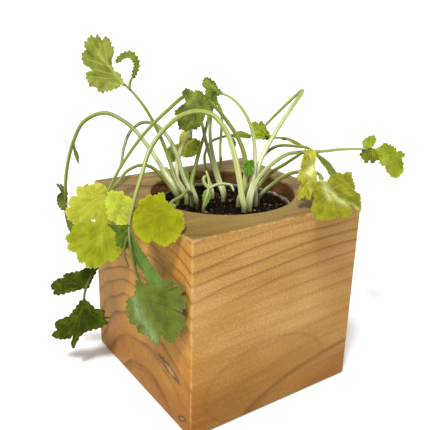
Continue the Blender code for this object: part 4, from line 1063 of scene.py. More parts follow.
leafLeftYellow = {
    "node": "leaf_left_yellow", "slot": "yellow_leaf", "root": (-12, 16), "widths": (2.8, 1.2),
    "stemLook": {"top": (0.22, 0.26, 0.015), "shade": (0.1, 0.125, 0.004)},
    "route": [(-14, 22.5, 103), (-11, 26, 112.5), (-3.5, 28, 125), (1.5, 29, 138), (-1.5, 27.5, 145),
              (-9, 24.5, 145), (-17.5, 22, 141), (-32, 22, 130), (-43.5, 21.5, 118), (-52, 19.5, 108),
              (-57, 17, 101), (-57.2, 17.8, 96), (-58.3, 16.6, 91.3)],
    "stalks": [{"route": [(-56.5, 17.5, 102.5), (-53.7, 21, 100.8), (-56.3, 23.3, 99.3)],
               "widths": (1.5, 1)}],
    "fans": [
        {"hub": (-63.5, 26.5, 95.5), "tip": (-0.72, 0.68, -0.13), "facing": (-0.65, -0.6, 0.45),
         "droop": 0.15, "arch": 0.1, "scale": 11.5, "centre": (0.7, -1.3), "base": (-11.5, -4.7),
         "pitch": 1.9, "bite": 1.05, "ridge": -0.15, "relief": 1.1,
         "ribs": [[(-11.5, -4.7), (-3.3, -3.7), (5.5, -7.7)], [(-11.5, -4.7), (-6.4, -9.5)], [(-3.3, -3.7),
             (-0.3, -9.7)], [(-11.5, -4.7), (-0.3, -0.9), (10, -1.7)], [(-5.9, -2.7), (3.3, 2.6),
             (10.8, 4.1)], [(-11.5, -4.7), (-6.8, -1.4), (0.6, 4), (7, 8.6)], [(-7.7, -1.8), (-3.3, 3),
             (0.8, 9.1)], [(-9.4, -2.9), (-6.4, 2.3), (-4.9, 7.2)]],
         "outline": [(-11.4, -4.8), (-10, -8), (-8.2, -9.6), (-6, -10.2), (-3.3, -10.3), (-1.6, -9.8),
             (0.2, -10.3), (1.9, -9.1), (4.2, -9.3), (6, -8.4), (6.1, -6.7), (5, -4.3), (8.1, -4.3),
             (10.3, -2.5), (10.9, -0.9), (9.2, 0.3), (11.4, 2), (11.7, 3.6), (10.8, 5.6), (10.4, 7.3),
             (8.7, 8), (7.5, 9.3), (5.9, 9.5), (5, 8.4), (3.3, 8.4), (1.8, 9.7), (0, 9.6), (-1.4, 9.2),
             (-1.9, 8), (-4, 7.9), (-6.3, 6.4), (-8.5, 4.1), (-10.3, 0)],
         "look": {"light": (0.405, 0.42, 0.03), "deep": (0.27, 0.285, 0.008), "rib": (0.45, 0.469, 0.05),
                  "margin": (0.461, 0.478, 0.055), "lines": 0.42}},
        {"hub": (-65.5, 15.5, 79.5), "tip": (-0.26, -0.32, -0.91), "facing": (-0.73, -0.56, 0.4),
         "droop": 0.12, "arch": 0.12, "scale": 15, "centre": (-1.4, 4.4), "base": (-17.9, 4.9),
         "pitch": 1.9, "bite": 1.05, "ridge": 0.12, "paleSheenWidth": 2, "relief": 1.2,
         "paleSheen": [[(-17.9, 4.9), (-6.7, 4.6), (0.7, 3.4)]],
         "ribs": [[(-17.9, 4.9), (-4.6, 3.9), (3.6, 2.2), (12.2, -0.3)], [(-10.3, 4.6), (-6.7, -3.9),
             (-4.8, -14.8)], [(-7.9, 4.3), (-1.8, -5), (2.3, -15)], [(-4.6, 3.9), (1.4, -3.3),
             (4.8, -11.4)], [(-0.5, 3.3), (6.3, -2.6), (10.2, -7.4)], [(-4.6, 3.9), (3.5, 4.9), (10.3, 5)],
             [(-9.5, 4.4), (-0.7, 7.2), (8.4, 10.4)], [(-11.1, 4.7), (-2.4, 9.1), (2.6, 13.9)]],
         "outline": [(-18.7, 5), (-17.9, 3.3), (-16, 2.6), (-13.5, 2.1), (-11.5, 1.7), (-10.8, 0.8),
             (-10.1, -1), (-10, -3.7), (-9.9, -7.1), (-9, -10.2), (-7.1, -12.4), (-4.4, -13.7), (-2.2, -16),
             (-0.6, -16.2), (1.1, -15.1), (2.7, -15.7), (4.5, -14.6), (5.3, -11.9), (5.4, -9.6),
             (6.5, -8.8), (8.6, -8.7), (10.3, -8), (10.7, -5.9), (10.7, -4.3), (12, -3.9), (12.7, -1.7),
             (12.5, 1.4), (11.8, 3.7), (10.7, 5.5), (9.3, 6.6), (8.1, 7.7), (9.3, 9), (9, 10.6),
             (7.3, 12.4), (5, 13.8), (2.6, 14.3), (0.2, 13.4), (-2.6, 12.2), (-4.9, 10.8), (-7.3, 9),
             (-8.8, 8.1), (-11.1, 7.7), (-13.6, 7.4), (-16.1, 6.9), (-18.1, 6.3)],
         "look": {"light": (0.279, 0.302, 0.012), "deep": (0.18, 0.197, 0.003),
                  "rib": (0.324, 0.349, 0.021), "margin": (0.34, 0.358, 0.021), "lines": 0.5,
                  "shine": 0.08}},
    ],
}
growLeaf(leafLeftYellow, 3)

leafLeftBack = {
    "node": "leaf_left_back", "slot": "yellow_leaf", "root": (-10.5, 12.5), "widths": (2.6, 1.2),
    "stemLook": {"top": (0.28, 0.3, 0.12), "shade": (0.17, 0.19, 0.07)},
    "route": [(-12.5, 18.5, 105), (-13, 24, 115), (-14, 33.5, 124), (-16.5, 41.5, 128.5),
              (-20.5, 48.5, 128.5), (-25.5, 52, 124), (-31.5, 49, 116), (-38, 40, 109), (-47.2, 30, 104.2),
              (-51.5, 27, 99.8)],
    "fans": [
        {"hub": (-51.5, 27, 99.8), "tip": (-0.75, -0.3, -0.55), "facing": (-0.45, -0.3, 0.85),
         "scale": 3.5999999999999996, "centre": (0, 0), "base": (-1.6, 0), "pitch": 1.8, "bite": 0.63,
         "ribs": [[(-1.6, 0), (1, -2.8)], [(-1.6, 0), (3.2, 0)], [(-1.6, 0), (1, 2.8)]],
         "outline": [(-2.5, 0), (-2.8, -1), (-2.6, -1.5), (-2.3, -1.9), (-1.3, -2.2), (-0.5, -2.6),
             (0.6, -3.2), (1.1, -3.1), (1.6, -2.8), (2, -1.7), (3.1, -1.1), (3.6, 0), (3.1, 1.1), (2, 1.7),
             (1.6, 2.8), (1.1, 3.1), (0.6, 3.2), (-0.5, 2.6), (-1.3, 2.2), (-2.3, 1.9), (-2.6, 1.5),
             (-2.8, 1)],
         "look": {"light": (0.258, 0.283, 0.021), "deep": (0.16, 0.184, 0.009),
                  "rib": (0.307, 0.339, 0.037)}},
    ],
}
growLeaf(leafLeftBack, 4)

leafLeftLow = {
    "node": "leaf_left_low", "slot": "yellow_leaf", "root": (-19, 13.5), "widths": (2.3, 1.2),
    "stemLook": {"top": (0.22, 0.26, 0.015), "shade": (0.1, 0.125, 0.004)},
    "route": [(-22, 13, 99.5), (-26.5, 15.5, 106.5), (-32, 18, 112.5), (-37, 18.5, 114), (-43.9, 19, 112.3),
              (-50.5, 16.9, 107.8), (-55.7, 16.8, 102.3), (-55.6, 13.7, 100.9)],
    "fans": [
        {"hub": (-55.5, 4, 99.5), "tip": (0.36, -0.88, 0.31), "facing": (-0.88, -0.2, 0.44), "droop": 0.1,
         "arch": 0.1, "scale": 11, "centre": (-2.6, -0.4), "base": (-10.5, 7.8), "pitch": 1.8, "bite": 0.91,
         "relief": 1,
         "ribs": [[(-10.5, 7.8), (-5.2, 2.3), (0.4, -2.7), (6.7, -6.8)], [(-8.1, 5.4), (-4, 7.6)],
             [(-5.9, 3), (0.3, 5.8)], [(-2.6, -0.2), (7.8, 0.6)], [(-8.8, 6.1), (-6.6, 0), (-4.5, -5.8)],
             [(-5.8, 2.8), (-0.6, -3.8), (2.6, -8)]],
         "outline": [(-10.5, 4.6), (-10.1, 0.4), (-9.2, -3), (-7.9, -5.5), (-5.1, -6.5), (-3.4, -8),
             (0.2, -8.7), (3.6, -8.6), (6.8, -7.6), (7.3, -5.7), (7.8, -3.4), (8.1, -1.4), (8.6, 0.5),
             (7.1, 2.4), (4.9, 4.3), (1.5, 5.2), (0.6, 6.8), (-2.2, 8.1), (-3.9, 8), (-7.2, 8.7),
             (-9.2, 8.7), (-10.8, 8)],
         "look": {"light": (0.414, 0.455, 0.036), "deep": (0.243, 0.274, 0.01),
                  "rib": (0.426, 0.468, 0.041), "margin": (0.469, 0.506, 0.045), "lines": 0.3}},
    ],
}
growLeaf(leafLeftLow, 5)

leafFrontArch = {
    "node": "leaf_front_arch", "slot": "green_leaf", "root": (4, -14), "widths": (3.2, 1.3),
    "stemLook": {"top": (0.28, 0.33, 0.03), "shade": (0.14, 0.18, 0.008), "base": (0.8, 0.84, 0.36),
                 "whiten": 0.6},
    "route": [(4, -12, 97.5), (4, -9, 107), (3, -5.5, 119), (-0.5, -1, 132.5), (-5.5, 2.5, 139),
              (-13, 5, 141), (-21.5, 7, 139), (-31, 7, 133), (-39, 5.5, 125), (-46.5, 0.5, 114),
              (-52.5, -3.5, 104.5), (-57.5, -8, 95.5), (-60, -13, 89.5), (-61, -18, 82),
              (-59.5, -20.4, 72.5), (-58.8, -22.7, 70.5)],
    "stalks": [{"route": [(-60.5, -12, 91), (-62.5, -12, 84), (-62, -15, 77)], "widths": (1.4, 0.9)}],
    "fans": [
        {"hub": (-61, -9, 90.5), "tip": (-0.57, 0.69, 0.45), "facing": (-0.66, -0.71, 0.25), "scale": 9,
         "centre": (0.4, -1.6), "base": (-0.3, -5.5), "pitch": 2.2, "bite": 0.7,
         "ribs": [[(-0.3, -5.5), (4.2, -2), (8.7, 0)], [(-0.3, -5.5), (0.8, -0.9), (2, 2.6)], [(-0.3, -5.5),
             (-1.7, 0.3), (-2.5, 4.8)], [(-0.3, -5.5), (-3.7, -1), (-7, 2.3)]],
         "outline": [(7.5, 0.4), (5.3, 0.5), (3.3, 0.9), (3.2, 2.7), (1.9, 4.4), (-0.2, 5.6), (-2.2, 5.5),
             (-4.1, 4.4), (-6.2, 3.3), (-8.7, 2.2), (-6.7, 0.7), (-4.3, -1.4), (-2.2, -3.6), (-0.7, -5.1),
             (1.3, -5), (2.5, -3.7), (4.6, -2.7), (6.9, -1.7), (8.3, -0.9), (9.4, 0.3)],
         "look": {"light": (0.114, 0.172, 0.003), "deep": (0.04, 0.068, 0.003),
                  "rib": (0.159, 0.233, 0.015)}},
        {"hub": (-58, -33, 64), "tip": (-0.08, -0.17, -0.98), "facing": (-0.95, -0.27, 0.12),
         "droop": -0.05, "arch": 0.06, "scale": 19.5, "centre": (-2.6, -4), "base": (-10.4, -11.2),
         "pitch": 2.9, "bite": 1.33, "ridge": -0.08, "cup": 0.5, "paleSheenWidth": 3.5, "relief": 0.7,
         "paleSheen": [[(0.3, -14.1), (7.9, -9.5), (15.2, -1.1)]],
         "ribs": [[(-10.4, -11.2), (-4.8, -8), (2.6, -2.8), (9.2, 3.8), (13.8, 8.3)], [(-7.3, -9.3),
             (-0.5, -12.2), (3.4, -18.9)], [(-4.8, -8), (3.4, -10.1), (10.7, -16.1)], [(-2.4, -6.4),
             (6, -6.1), (13.6, -7.2)], [(0.2, -4.3), (8.8, -1.3), (16.6, 1)], [(2.6, -2.8), (4.8, 6.8),
             (5.6, 16)], [(-1.1, -5.4), (-1.4, 6), (1.4, 16.5)], [(-4.8, -8), (-4.5, 4.1), (-4.2, 17)],
             [(-7, -9), (-7.9, 4.2), (-10.5, 15.4)], [(-9.1, -10.1), (-9.2, 1.3), (-13.8, 10.6)]],
         "outline": [(-10.6, -11.4), (-7.8, -12.6), (-4.6, -13.2), (-2.7, -13.9), (-0.6, -17.1),
             (1.5, -19.6), (3, -19.1), (5.3, -20.2), (6.2, -18.2), (8.5, -18.7), (10.3, -17.7),
             (11.8, -16.4), (10.8, -12.6), (12.7, -11.7), (14.1, -9.4), (14.2, -7.3), (13.2, -6.5),
             (14.6, -5.2), (14.8, -2.7), (16.4, -2.1), (17.3, 0), (16.8, 2.1), (15.2, 4.1), (13, 3.8),
             (11.1, 4.5), (12.9, 5.9), (14.2, 6.9), (14.2, 8.8), (12.5, 11.6), (10.9, 12.6), (9.6, 14.3),
             (8.3, 13.9), (7, 11.7), (7, 14.7), (5.8, 16.4), (4.2, 17.2), (2.9, 16.5), (0.7, 16.6),
             (0.1, 15), (-1.2, 13), (-0.9, 15.6), (-2.7, 17), (-4.7, 18), (-6.9, 17.8), (-8.4, 17.2),
             (-8.2, 14.8), (-9.9, 16.2), (-11.6, 15.5), (-12.2, 13.7), (-11.4, 12.1), (-10.3, 9.8),
             (-11.9, 10.3), (-13.7, 11.4), (-14.6, 10.8), (-13.8, 8.7), (-13.8, 6.8), (-11.6, 4.4),
             (-10.8, 0.3), (-11, -3.3), (-9.7, -5.5), (-9.7, -8), (-10.6, -10)],
         "look": {"light": (0.128, 0.158, 0.014), "deep": (0.066, 0.084, 0.004), "rib": (0.15, 0.19, 0.028),
                  "margin": (0.085, 0.135, 0.03), "back": (0.246, 0.312, 0.069),
                  "paleSheen": (0.22, 0.31, 0.115), "lines": 0.3, "shine": 0.1}},
    ],
    "ribbons": [
        {"width": 7.5, "facing": (-0.95, -0.27, 0.12), "base": 0.35, "end": 0.6, "pitch": 2.4, "bite": 0.84,
         "points": [(-58.8, -8.6, 94.6), (-59.5, -14, 88), (-59, -21, 82), (-58, -28, 78),
             (-56, -36, 75.5)],
         "look": {"light": (0.113, 0.198, 0.026), "deep": (0.061, 0.115, 0.011),
                  "rib": (0.164, 0.269, 0.051)}},
    ],
}
growLeaf(leafFrontArch, 6)

leafFrontYellow = {
    "node": "leaf_front_yellow", "slot": "yellow_leaf", "root": (-14.5, 6.5), "widths": (2.2, 1.2),
    "stemLook": {"top": (0.22, 0.26, 0.015), "shade": (0.1, 0.125, 0.004)},
    "route": [(-15, 6, 98), (-19.5, 2, 102), (-31, -10, 104.5), (-44, -22, 106.5), (-47.6, -31, 108),
              (-49.4, -30.3, 106.6)],
    "fans": [
        {"hub": (-55.3, -30.7, 104), "tip": (-0.66, -0.4, -0.64), "facing": (-0.5, -0.4, 0.77),
         "droop": 0.1, "arch": 0.12, "scale": 14.5, "centre": (-1.6, -0.7), "base": (-7.5, 4.3),
         "pitch": 1.8, "bite": 0.84, "ridge": 0.08, "relief": 1.1,
         "ribs": [[(-7.5, 4.3), (-2.5, 0), (3.4, -5.5), (6, -8.9)], [(-7.5, 4.3), (-8.9, -0.3),
             (-12.6, -4.3)], [(-5.1, 2), (-5.6, -5.4), (-6.8, -11.9)], [(-2.5, 0), (-1.6, -6.1),
             (-0.7, -12)], [(-1.7, -0.5), (5.1, -2), (10.7, -1.3)], [(-4.7, 2.2), (2.7, 2.9), (10.2, 6.5)],
             [(-6.1, 3.2), (0.6, 7), (5.2, 11.3)], [(-6.9, 3.8), (-4, 8.2), (-1, 11.6)], [(-7.5, 4.3),
             (-6.4, 7.7)]],
         "outline": [(-7.5, 4.3), (-8.7, 2.5), (-9.5, 0.6), (-10.5, -0.8), (-12.6, -2.1), (-13.3, -3.1),
             (-13, -4.5), (-12, -5.3), (-11.3, -6.6), (-10.8, -8.5), (-9.3, -10), (-8.1, -12.1),
             (-6.5, -12.5), (-4.5, -11.4), (-3.2, -11.7), (-2.4, -12.4), (-0.6, -12.3), (2.1, -10.6),
             (4.5, -10), (6.4, -8.8), (7.8, -7.6), (9.4, -5.6), (10.7, -2.9), (11.4, -0.7), (11, 0.7),
             (9.8, 1.3), (8.1, 1.1), (9.4, 2.1), (10.4, 4), (10.7, 6.3), (10, 8.7), (8.6, 9.6), (7.7, 11.2),
             (5.8, 11.3), (4.7, 12.2), (2.8, 11.6), (1.9, 12.7), (0.4, 12.5), (-1, 11.8), (-2.9, 11.2),
             (-4.6, 10), (-6, 9.3), (-6.7, 7.5), (-7, 5.9)],
         "look": {"light": (0.271, 0.287, 0.005), "deep": (0.172, 0.178, 0.003),
                  "rib": (0.288, 0.304, 0.008), "margin": (0.309, 0.312, 0.01), "wither": 0.05,
                  "lines": 0.35, "shine": 0.04}},
    ],
}
growLeaf(leafFrontYellow, 7)

cutStem = {
    "node": "cut_stem", "slot": "pale_stem", "root": (-12.5, 21), "widths": (2.6, 2.2),
    "stemLook": {"top": (0.48, 0.54, 0.22), "shade": (0.28, 0.34, 0.1)},
    "route": [(-14.5, 25, 98), (-16, 31, 107)],
}
growLeaf(cutStem, 8)

leafBud = {
    "node": "leaf_bud", "slot": "green_leaf", "root": (-8.5, 17), "widths": (1.8, 1.2),
    "stemLook": {"top": (0.22, 0.26, 0.015), "shade": (0.1, 0.125, 0.004)},
    "route": [(-9, 19.5, 97), (-8.5, 22, 101)],
    "ribbons": [
        {"width": 3.4, "facing": (-0.6, -0.7, 0.3), "end": 0.2, "arch": 0.5,
         "points": [(-9, 19, 96), (-8.5, 22, 101), (-7.5, 24.5, 106.5)],
         # the bud's greens are raised as painted light, since it sits in shade
         "look": {"light": (0.26, 0.48, 0.02), "deep": (0.12, 0.26, 0.01), "rib": (0.199, 0.299, 0.021)}},
    ],
}
growLeaf(leafBud, 9)

leafCentreUmbrella = {
    "node": "leaf_centre_umbrella", "slot": "dark_leaf", "root": (6.5, -5.5), "widths": (3, 1.5),
    "stemLook": {"top": (0.22, 0.26, 0.015), "shade": (0.1, 0.125, 0.004)},
    "route": [(9, -6.5, 103), (12, -3, 114), (12, 3.5, 124.5), (9, 9, 132.5), (3, 12.5, 140.7),
              (-5.7, 18.7, 147.8), (-5.6, 17.5, 145.7)],
    "stalks": [{"route": [(11.5, -4, 112), (11, -6.5, 113.5), (10.3, -8, 113)], "widths": (1.4, 1)}],
    "fans": [
        {"hub": (-9, 14, 140.3), "tip": (-0.52, -0.3, -0.8), "facing": (-0.45, -0.7, 0.55), "droop": 0.2,
         "arch": 0.3, "scale": 12.5, "centre": (-2.4, 2.2), "base": (-9.1, -2.4), "pitch": 1.9,
         "bite": 0.84, "ridge": -0.12, "cup": 0.8, "paleSheenWidth": 1.6,
         "paleSheen": [[(-9.1, -2.4), (-5.5, -2), (-0.6, -4.1)]],
         "ribs": [[(-9.1, -2.4), (-8.6, -6.1), (-7.7, -8.2)], [(-9.1, -2.4), (-0.5, -4.6), (3.5, -8.8)],
             [(-9.1, -2.4), (3.8, -2.8), (10.8, -4.8)], [(-9.1, -2.4), (3.3, -0.7), (10.8, 0.2)],
             [(-9.1, -2.4), (0.8, 1.3), (7.4, 4.6)], [(-9.1, -2.4), (-4.8, 3.2), (-1.9, 6.8)]],
         "outline": [(-10.1, -4.7), (-10, -7), (-8.8, -8.3), (-6.8, -8.5), (-4.6, -6.3), (-2.5, -5.1),
             (-0.1, -6.7), (1.6, -8.5), (3.8, -9.3), (5.1, -7.3), (7.8, -7.1), (9.1, -5.8), (11.4, -4.4),
             (11.3, -2.8), (12, -1.6), (11.1, 0.3), (10.1, 1.8), (10, 3.6), (7.9, 4.8), (5.5, 5.4),
             (3.1, 6), (1.2, 6.4), (-1, 7.1), (-2.8, 7.8), (-5.4, 7), (-7.6, 5.4), (-8.7, 3.2), (-9.7, 1.3),
             (-10.2, -0.2), (-9.5, -2.7)],
         "look": {"light": (0.14, 0.18, 0.006), "deep": (0.033, 0.054, 0.003), "rib": (0.205, 0.258, 0.02),
                  "margin": (0.098, 0.103, 0.008), "shine": 0.18, "lines": 0.35}},
        {"hub": (10.3, -8, 113), "tip": (-0.29, -0.35, -0.89), "facing": (-0.4, -0.8, 0.45), "scale": 4.7,
         "centre": (0, 0), "base": (-2.1, 0), "pitch": 1.6, "bite": 0.56,
         "ribs": [[(-2.1, 0), (-2.4, -2)], [(-2.1, 0), (1.9, -1.9)], [(-2.1, 0), (4.2, 0)], [(-2.1, 0),
             (0.7, 1.9)]],
         "outline": [(-3, 0), (-3, -1.1), (-2.7, -2.2), (-1.6, -2.7), (-0.5, -2.9), (0.5, -2.9),
             (1.5, -2.5), (2.1, -2.1), (3.9, -1.4), (4.7, 0), (3.9, 1.4), (2.2, 1.9), (1.5, 2.5),
             (0.9, 2.8), (0.5, 2.9), (-0.5, 2.9), (-1.5, 2.5), (-3, 2.5), (-3.5, 1.9), (-3.7, 1.3)],
         "look": {"light": (0.15, 0.34, 0.012), "deep": (0.05, 0.13, 0.004), "rib": (0.2, 0.4, 0.03)}},
    ],
}
growLeaf(leafCentreUmbrella, 10)

leafCentreTop = {
    "node": "leaf_centre_top", "slot": "green_leaf", "root": (9.5, -9.5), "widths": (2.8, 1.2),
    # its stem is whiter far up: partly its own pale colour, partly a painted highlight
    "stemLook": {"top": (0.42, 0.45, 0.14), "shade": (0.22, 0.24, 0.03), "base": (0.95, 0.97, 0.62),
                 "whiten": 0.85},
    "route": [(13, -8.5, 105), (16.5, -5, 116), (18.5, 0, 127), (18.5, 7, 136.5), (16.5, 13.5, 142.5),
              (13.7, 21.9, 145.5), (12.5, 22.8, 145.8)],
    "fans": [
        {"hub": (8, 24, 146.5), "tip": (0.1, 0.53, 0.84), "facing": (-0.5, -0.7, 0.5), "droop": 0.3,
         "arch": 0.4, "scale": 9.5, "centre": (0.8, -1), "base": (-1.4, -5.7), "pitch": 1.9, "bite": 0.7,
         "cup": 0.8, "paleSheenWidth": 0.9,
         "paleSheen": [[(-1.8, -4.4), (2.5, -1.6), (7.1, 1.3)]],
         "ribs": [[(-1.4, -5.7), (1, -1.3), (5.7, 0.6), (9, 2.3)], [(0.3, -2.5), (1.1, 1.5)], [(-0.3, -3.3),
             (-3.8, -0.3), (-8.4, 0.6)]],
         "outline": [(0.1, -5.3), (1.7, -4.1), (3.9, -3.2), (6.3, -2.3), (8.4, -0.9), (9.7, 1.3),
             (8.9, 2.7), (6.7, 3.5), (4.4, 3.7), (2.4, 2.6), (0.1, 3.3), (-1.9, 3), (-3.8, 1.5),
             (-6.7, 1.7), (-9, 0.7), (-7.8, -1), (-5.5, -2.2), (-2.9, -2.7), (-2.6, -4.3), (-1.6, -5.8)],
         "look": {"light": (0.14, 0.22, 0.008), "deep": (0.03, 0.06, 0.002), "rib": (0.22, 0.29, 0.025),
                  "shine": 0.2, "lines": 0.35}},
    ],
}
growLeaf(leafCentreTop, 11)

leafCentreBack = {
    "node": "leaf_centre_back", "slot": "olive_leaf", "root": (5, 6), "widths": (2.6, 1.2),
    "stemLook": {"top": (0.28, 0.32, 0.08), "shade": (0.15, 0.18, 0.03)},
    "route": [(5, 10.5, 100), (4.5, 16.5, 110), (4, 22, 120), (4.5, 27, 129), (5, 32, 134.5),
              (4.5, 36, 132), (3, 35.5, 124), (3.2, 36.3, 119.2), (2.2, 36.2, 117.5)],
    "stalks": [{"route": [(2.5, 35, 121), (-3.7, 39.6, 115.4), (-4.4, 39.8, 114.3)], "widths": (1.2, 1)}],
    "fans": [
        {"hub": (1.5, 34, 115.5), "tip": (0.79, -0.55, -0.27), "facing": (-0.4, -0.8, 0.45), "droop": 0.15,
         "arch": 0.15, "scale": 9, "centre": (-1.9, -1.8), "base": (-0.9, 4.5), "pitch": 1.7, "bite": 0.56,
         "ribs": [[(-0.9, 4.5), (-5.2, 7.4)], [(-0.9, 4.5), (4.3, 3.6)], [(-0.9, 4.5), (1.7, -4.8)],
             [(-0.9, 4.5), (-4.2, -3.2)]],
         "outline": [(1.4, 5.3), (-1.7, 5.4), (-3.4, 8.3), (-5.8, 8.1), (-7.1, 5.7), (-7.1, 2.5),
             (-6.5, -0.4), (-5, -4.9), (-2.7, -6.6), (0.9, -5.7), (3.9, -3.8), (5, 1.3), (5.1, 4.4)],
         "look": {"light": (0.409, 0.422, 0.038), "deep": (0.152, 0.162, 0.004),
                  "rib": (0.542, 0.558, 0.074), "back": (0.42, 0.41, 0.09)}},
        {"hub": (-8, 39, 112), "tip": (-0.34, -0.33, -0.88), "facing": (-0.4, -0.8, 0.45), "scale": 5.5,
         "centre": (-0.8, 1.1), "base": (-4.7, 2.9), "pitch": 1.7, "bite": 0.56,
         "ribs": [[(-4.7, 2.9), (-0.6, -1.4)], [(-4.7, 2.9), (3.8, 2)]],
         "outline": [(-2.9, -2), (0.5, -2.2), (3.1, 0), (4.6, 2.1), (2.4, 4.3), (-2, 4.4), (-5.2, 3.3),
             (-5.1, 0.4)],
         "look": {"light": (0.315, 0.333, 0.032), "deep": (0.124, 0.141, 0.003),
                  "rib": (0.417, 0.44, 0.062)}},
    ],
}
growLeaf(leafCentreBack, 12)

leafCentreLeft = {
    "node": "leaf_centre_left", "slot": "olive_leaf", "root": (-10.5, 8.5), "widths": (2.6, 1.2),
    "stemLook": {"top": (0.22, 0.26, 0.015), "shade": (0.1, 0.125, 0.004)},
    "route": [(-11, 12.5, 101), (-7, 15.5, 109.5), (-2.5, 18, 118), (2.5, 21, 126), (7, 25, 133),
              (10.5, 29.8, 139.2)],
    "fans": [
        {"hub": (10.5, 30, 139.5), "tip": (0.2, 0.7, 0.6), "facing": (-0.5, -0.6, 0.6), "scale": 6,
         "centre": (0, 0), "base": (-2.7, 0), "pitch": 1.8, "bite": 0.56,
         "ribs": [[(-2.7, 0), (1.9, -4.1)], [(-2.7, 0), (5.4, 0)], [(-2.7, 0), (1.9, 4.1)]],
         "outline": [(-3.7, 0), (-3.7, -1.3), (-3.5, -2), (-3, -2.5), (-1.9, -3.2), (-0.6, -3.7),
             (0.8, -4.7), (2.1, -4.5), (3.3, -2.8), (5.2, -1.9), (6, 0), (5.2, 1.9), (3.3, 2.8), (2.5, 4.3),
             (0.8, 4.7), (-0.6, 3.7), (-1.9, 3.2), (-3, 2.5), (-3.5, 2), (-3.7, 1.3)],
         "look": {"light": (0.184, 0.227, 0.02), "deep": (0.111, 0.142, 0.008),
                  "rib": (0.246, 0.295, 0.034)}},
    ],
}
growLeaf(leafCentreLeft, 13)

leafCentreLoop = {
    "node": "leaf_centre_loop", "slot": "pale_stem", "root": (8.5, 10), "widths": (2.3, 1.4),
    "stemLook": {"top": (0.36, 0.42, 0.14), "shade": (0.22, 0.27, 0.07)},
    "route": [(9, 15.5, 100), (9, 21, 109), (10, 26.5, 119), (12.5, 31, 129), (15.5, 33.5, 136),
              (19, 35, 138.5), (21.5, 34.5, 135), (20.5, 31.5, 125), (17.5, 28, 114.5), (16.5, 26, 108.5)],
    "ribbons": [
        {"width": 1.8, "facing": (-0.4, -0.7, 0.4), "end": 0.3, "arch": 0.4,
         "points": [(17, 27, 111), (16, 25, 106), (14.5, 24, 101.5)],
         "look": {"light": (0.228, 0.277, 0.023), "deep": (0.142, 0.179, 0.011),
                  "rib": (0.299, 0.356, 0.043)}},
    ],
}
growLeaf(leafCentreLoop, 14)

leafBackBranch = {
    "node": "leaf_back_branch", "slot": "green_leaf", "root": (2, 11.5), "widths": (1.9, 1.3),
    "stemLook": {"top": (0.22, 0.26, 0.015), "shade": (0.1, 0.125, 0.004)},
    "route": [(5, 21, 101), (10, 32, 111), (17, 36, 116.5), (24, 35, 118.5), (31, 33, 119.5)],
    "ribbons": [
        {"width": 3, "facing": (-0.5, -0.8, 0.3), "end": 0.3, "arch": 0.4,
         "points": [(28, 33.5, 118.5), (28.5, 31, 116), (28, 29, 113)],
         "look": {"light": (0.06, 0.1, 0.04), "deep": (0.025, 0.05, 0.02), "rib": (0.09, 0.14, 0.06)}},
        {"width": 5, "facing": (-0.2, -0.6, 0.75), "end": 0.4, "arch": 0.3,
         "points": [(29, 33.5, 119), (35, 31, 120), (41, 30, 118)],
         "look": {"light": (0.235, 0.271, 0.016), "deep": (0.142, 0.164, 0.008),
                  "rib": (0.299, 0.342, 0.032)}},
    ],
}
growLeaf(leafBackBranch, 15)

seedling = {
    "node": "seedling", "slot": "pale_stem", "root": (-13.5, -3), "widths": (2.08, 1.04),
    "stemLook": {"top": (0.5, 0.56, 0.24), "shade": (0.3, 0.36, 0.1), "whiten": 0.2},
    "route": [(-12.5, -2.5, 96), (-10.5, -2, 100.5), (-9, -0.5, 103), (-8, 1, 106), (-8, 3.5, 110.5)],
    "stalks": [{"route": [(-9, -0.8, 102.5), (-5, -1.5, 104), (-1.5, -3.5, 104.5), (1, -6, 104),
               (1, -8.5, 101.5)], "widths": (1.56, 1.1700000000000002)}, {"route": [(-9, -0.5, 102.5),
               (-10.5, 1, 105), (-10.5, 2, 107.5), (-9.3, 2, 108.7)],
               "widths": (1.9500000000000002, 1.1700000000000002)}],
    "ribbons": [
        {"width": 4.2, "facing": (-0.6, -0.75, 0.3), "base": 0.3, "end": 0.4,
         "points": [(-13, -3, 94.5), (-11.5, -2.3, 98.5), (-9.5, -1, 102.5)],
         "look": {"light": (0.274, 0.336, 0.06), "deep": (0.164, 0.22, 0.024),
                  "rib": (0.376, 0.413, 0.112)}},
        {"facing": (-0.6, -0.75, 0.3), "width": 1.8,
         "points": [(-9, -0.5, 102.5), (-10.5, 1, 105), (-10.5, 2, 107.5), (-9.3, 2, 108.7)],
         "look": {"light": (0.274, 0.336, 0.06), "deep": (0.164, 0.22, 0.024),
                  "rib": (0.376, 0.413, 0.112)}},
    ],
}
growLeaf(seedling, 16)

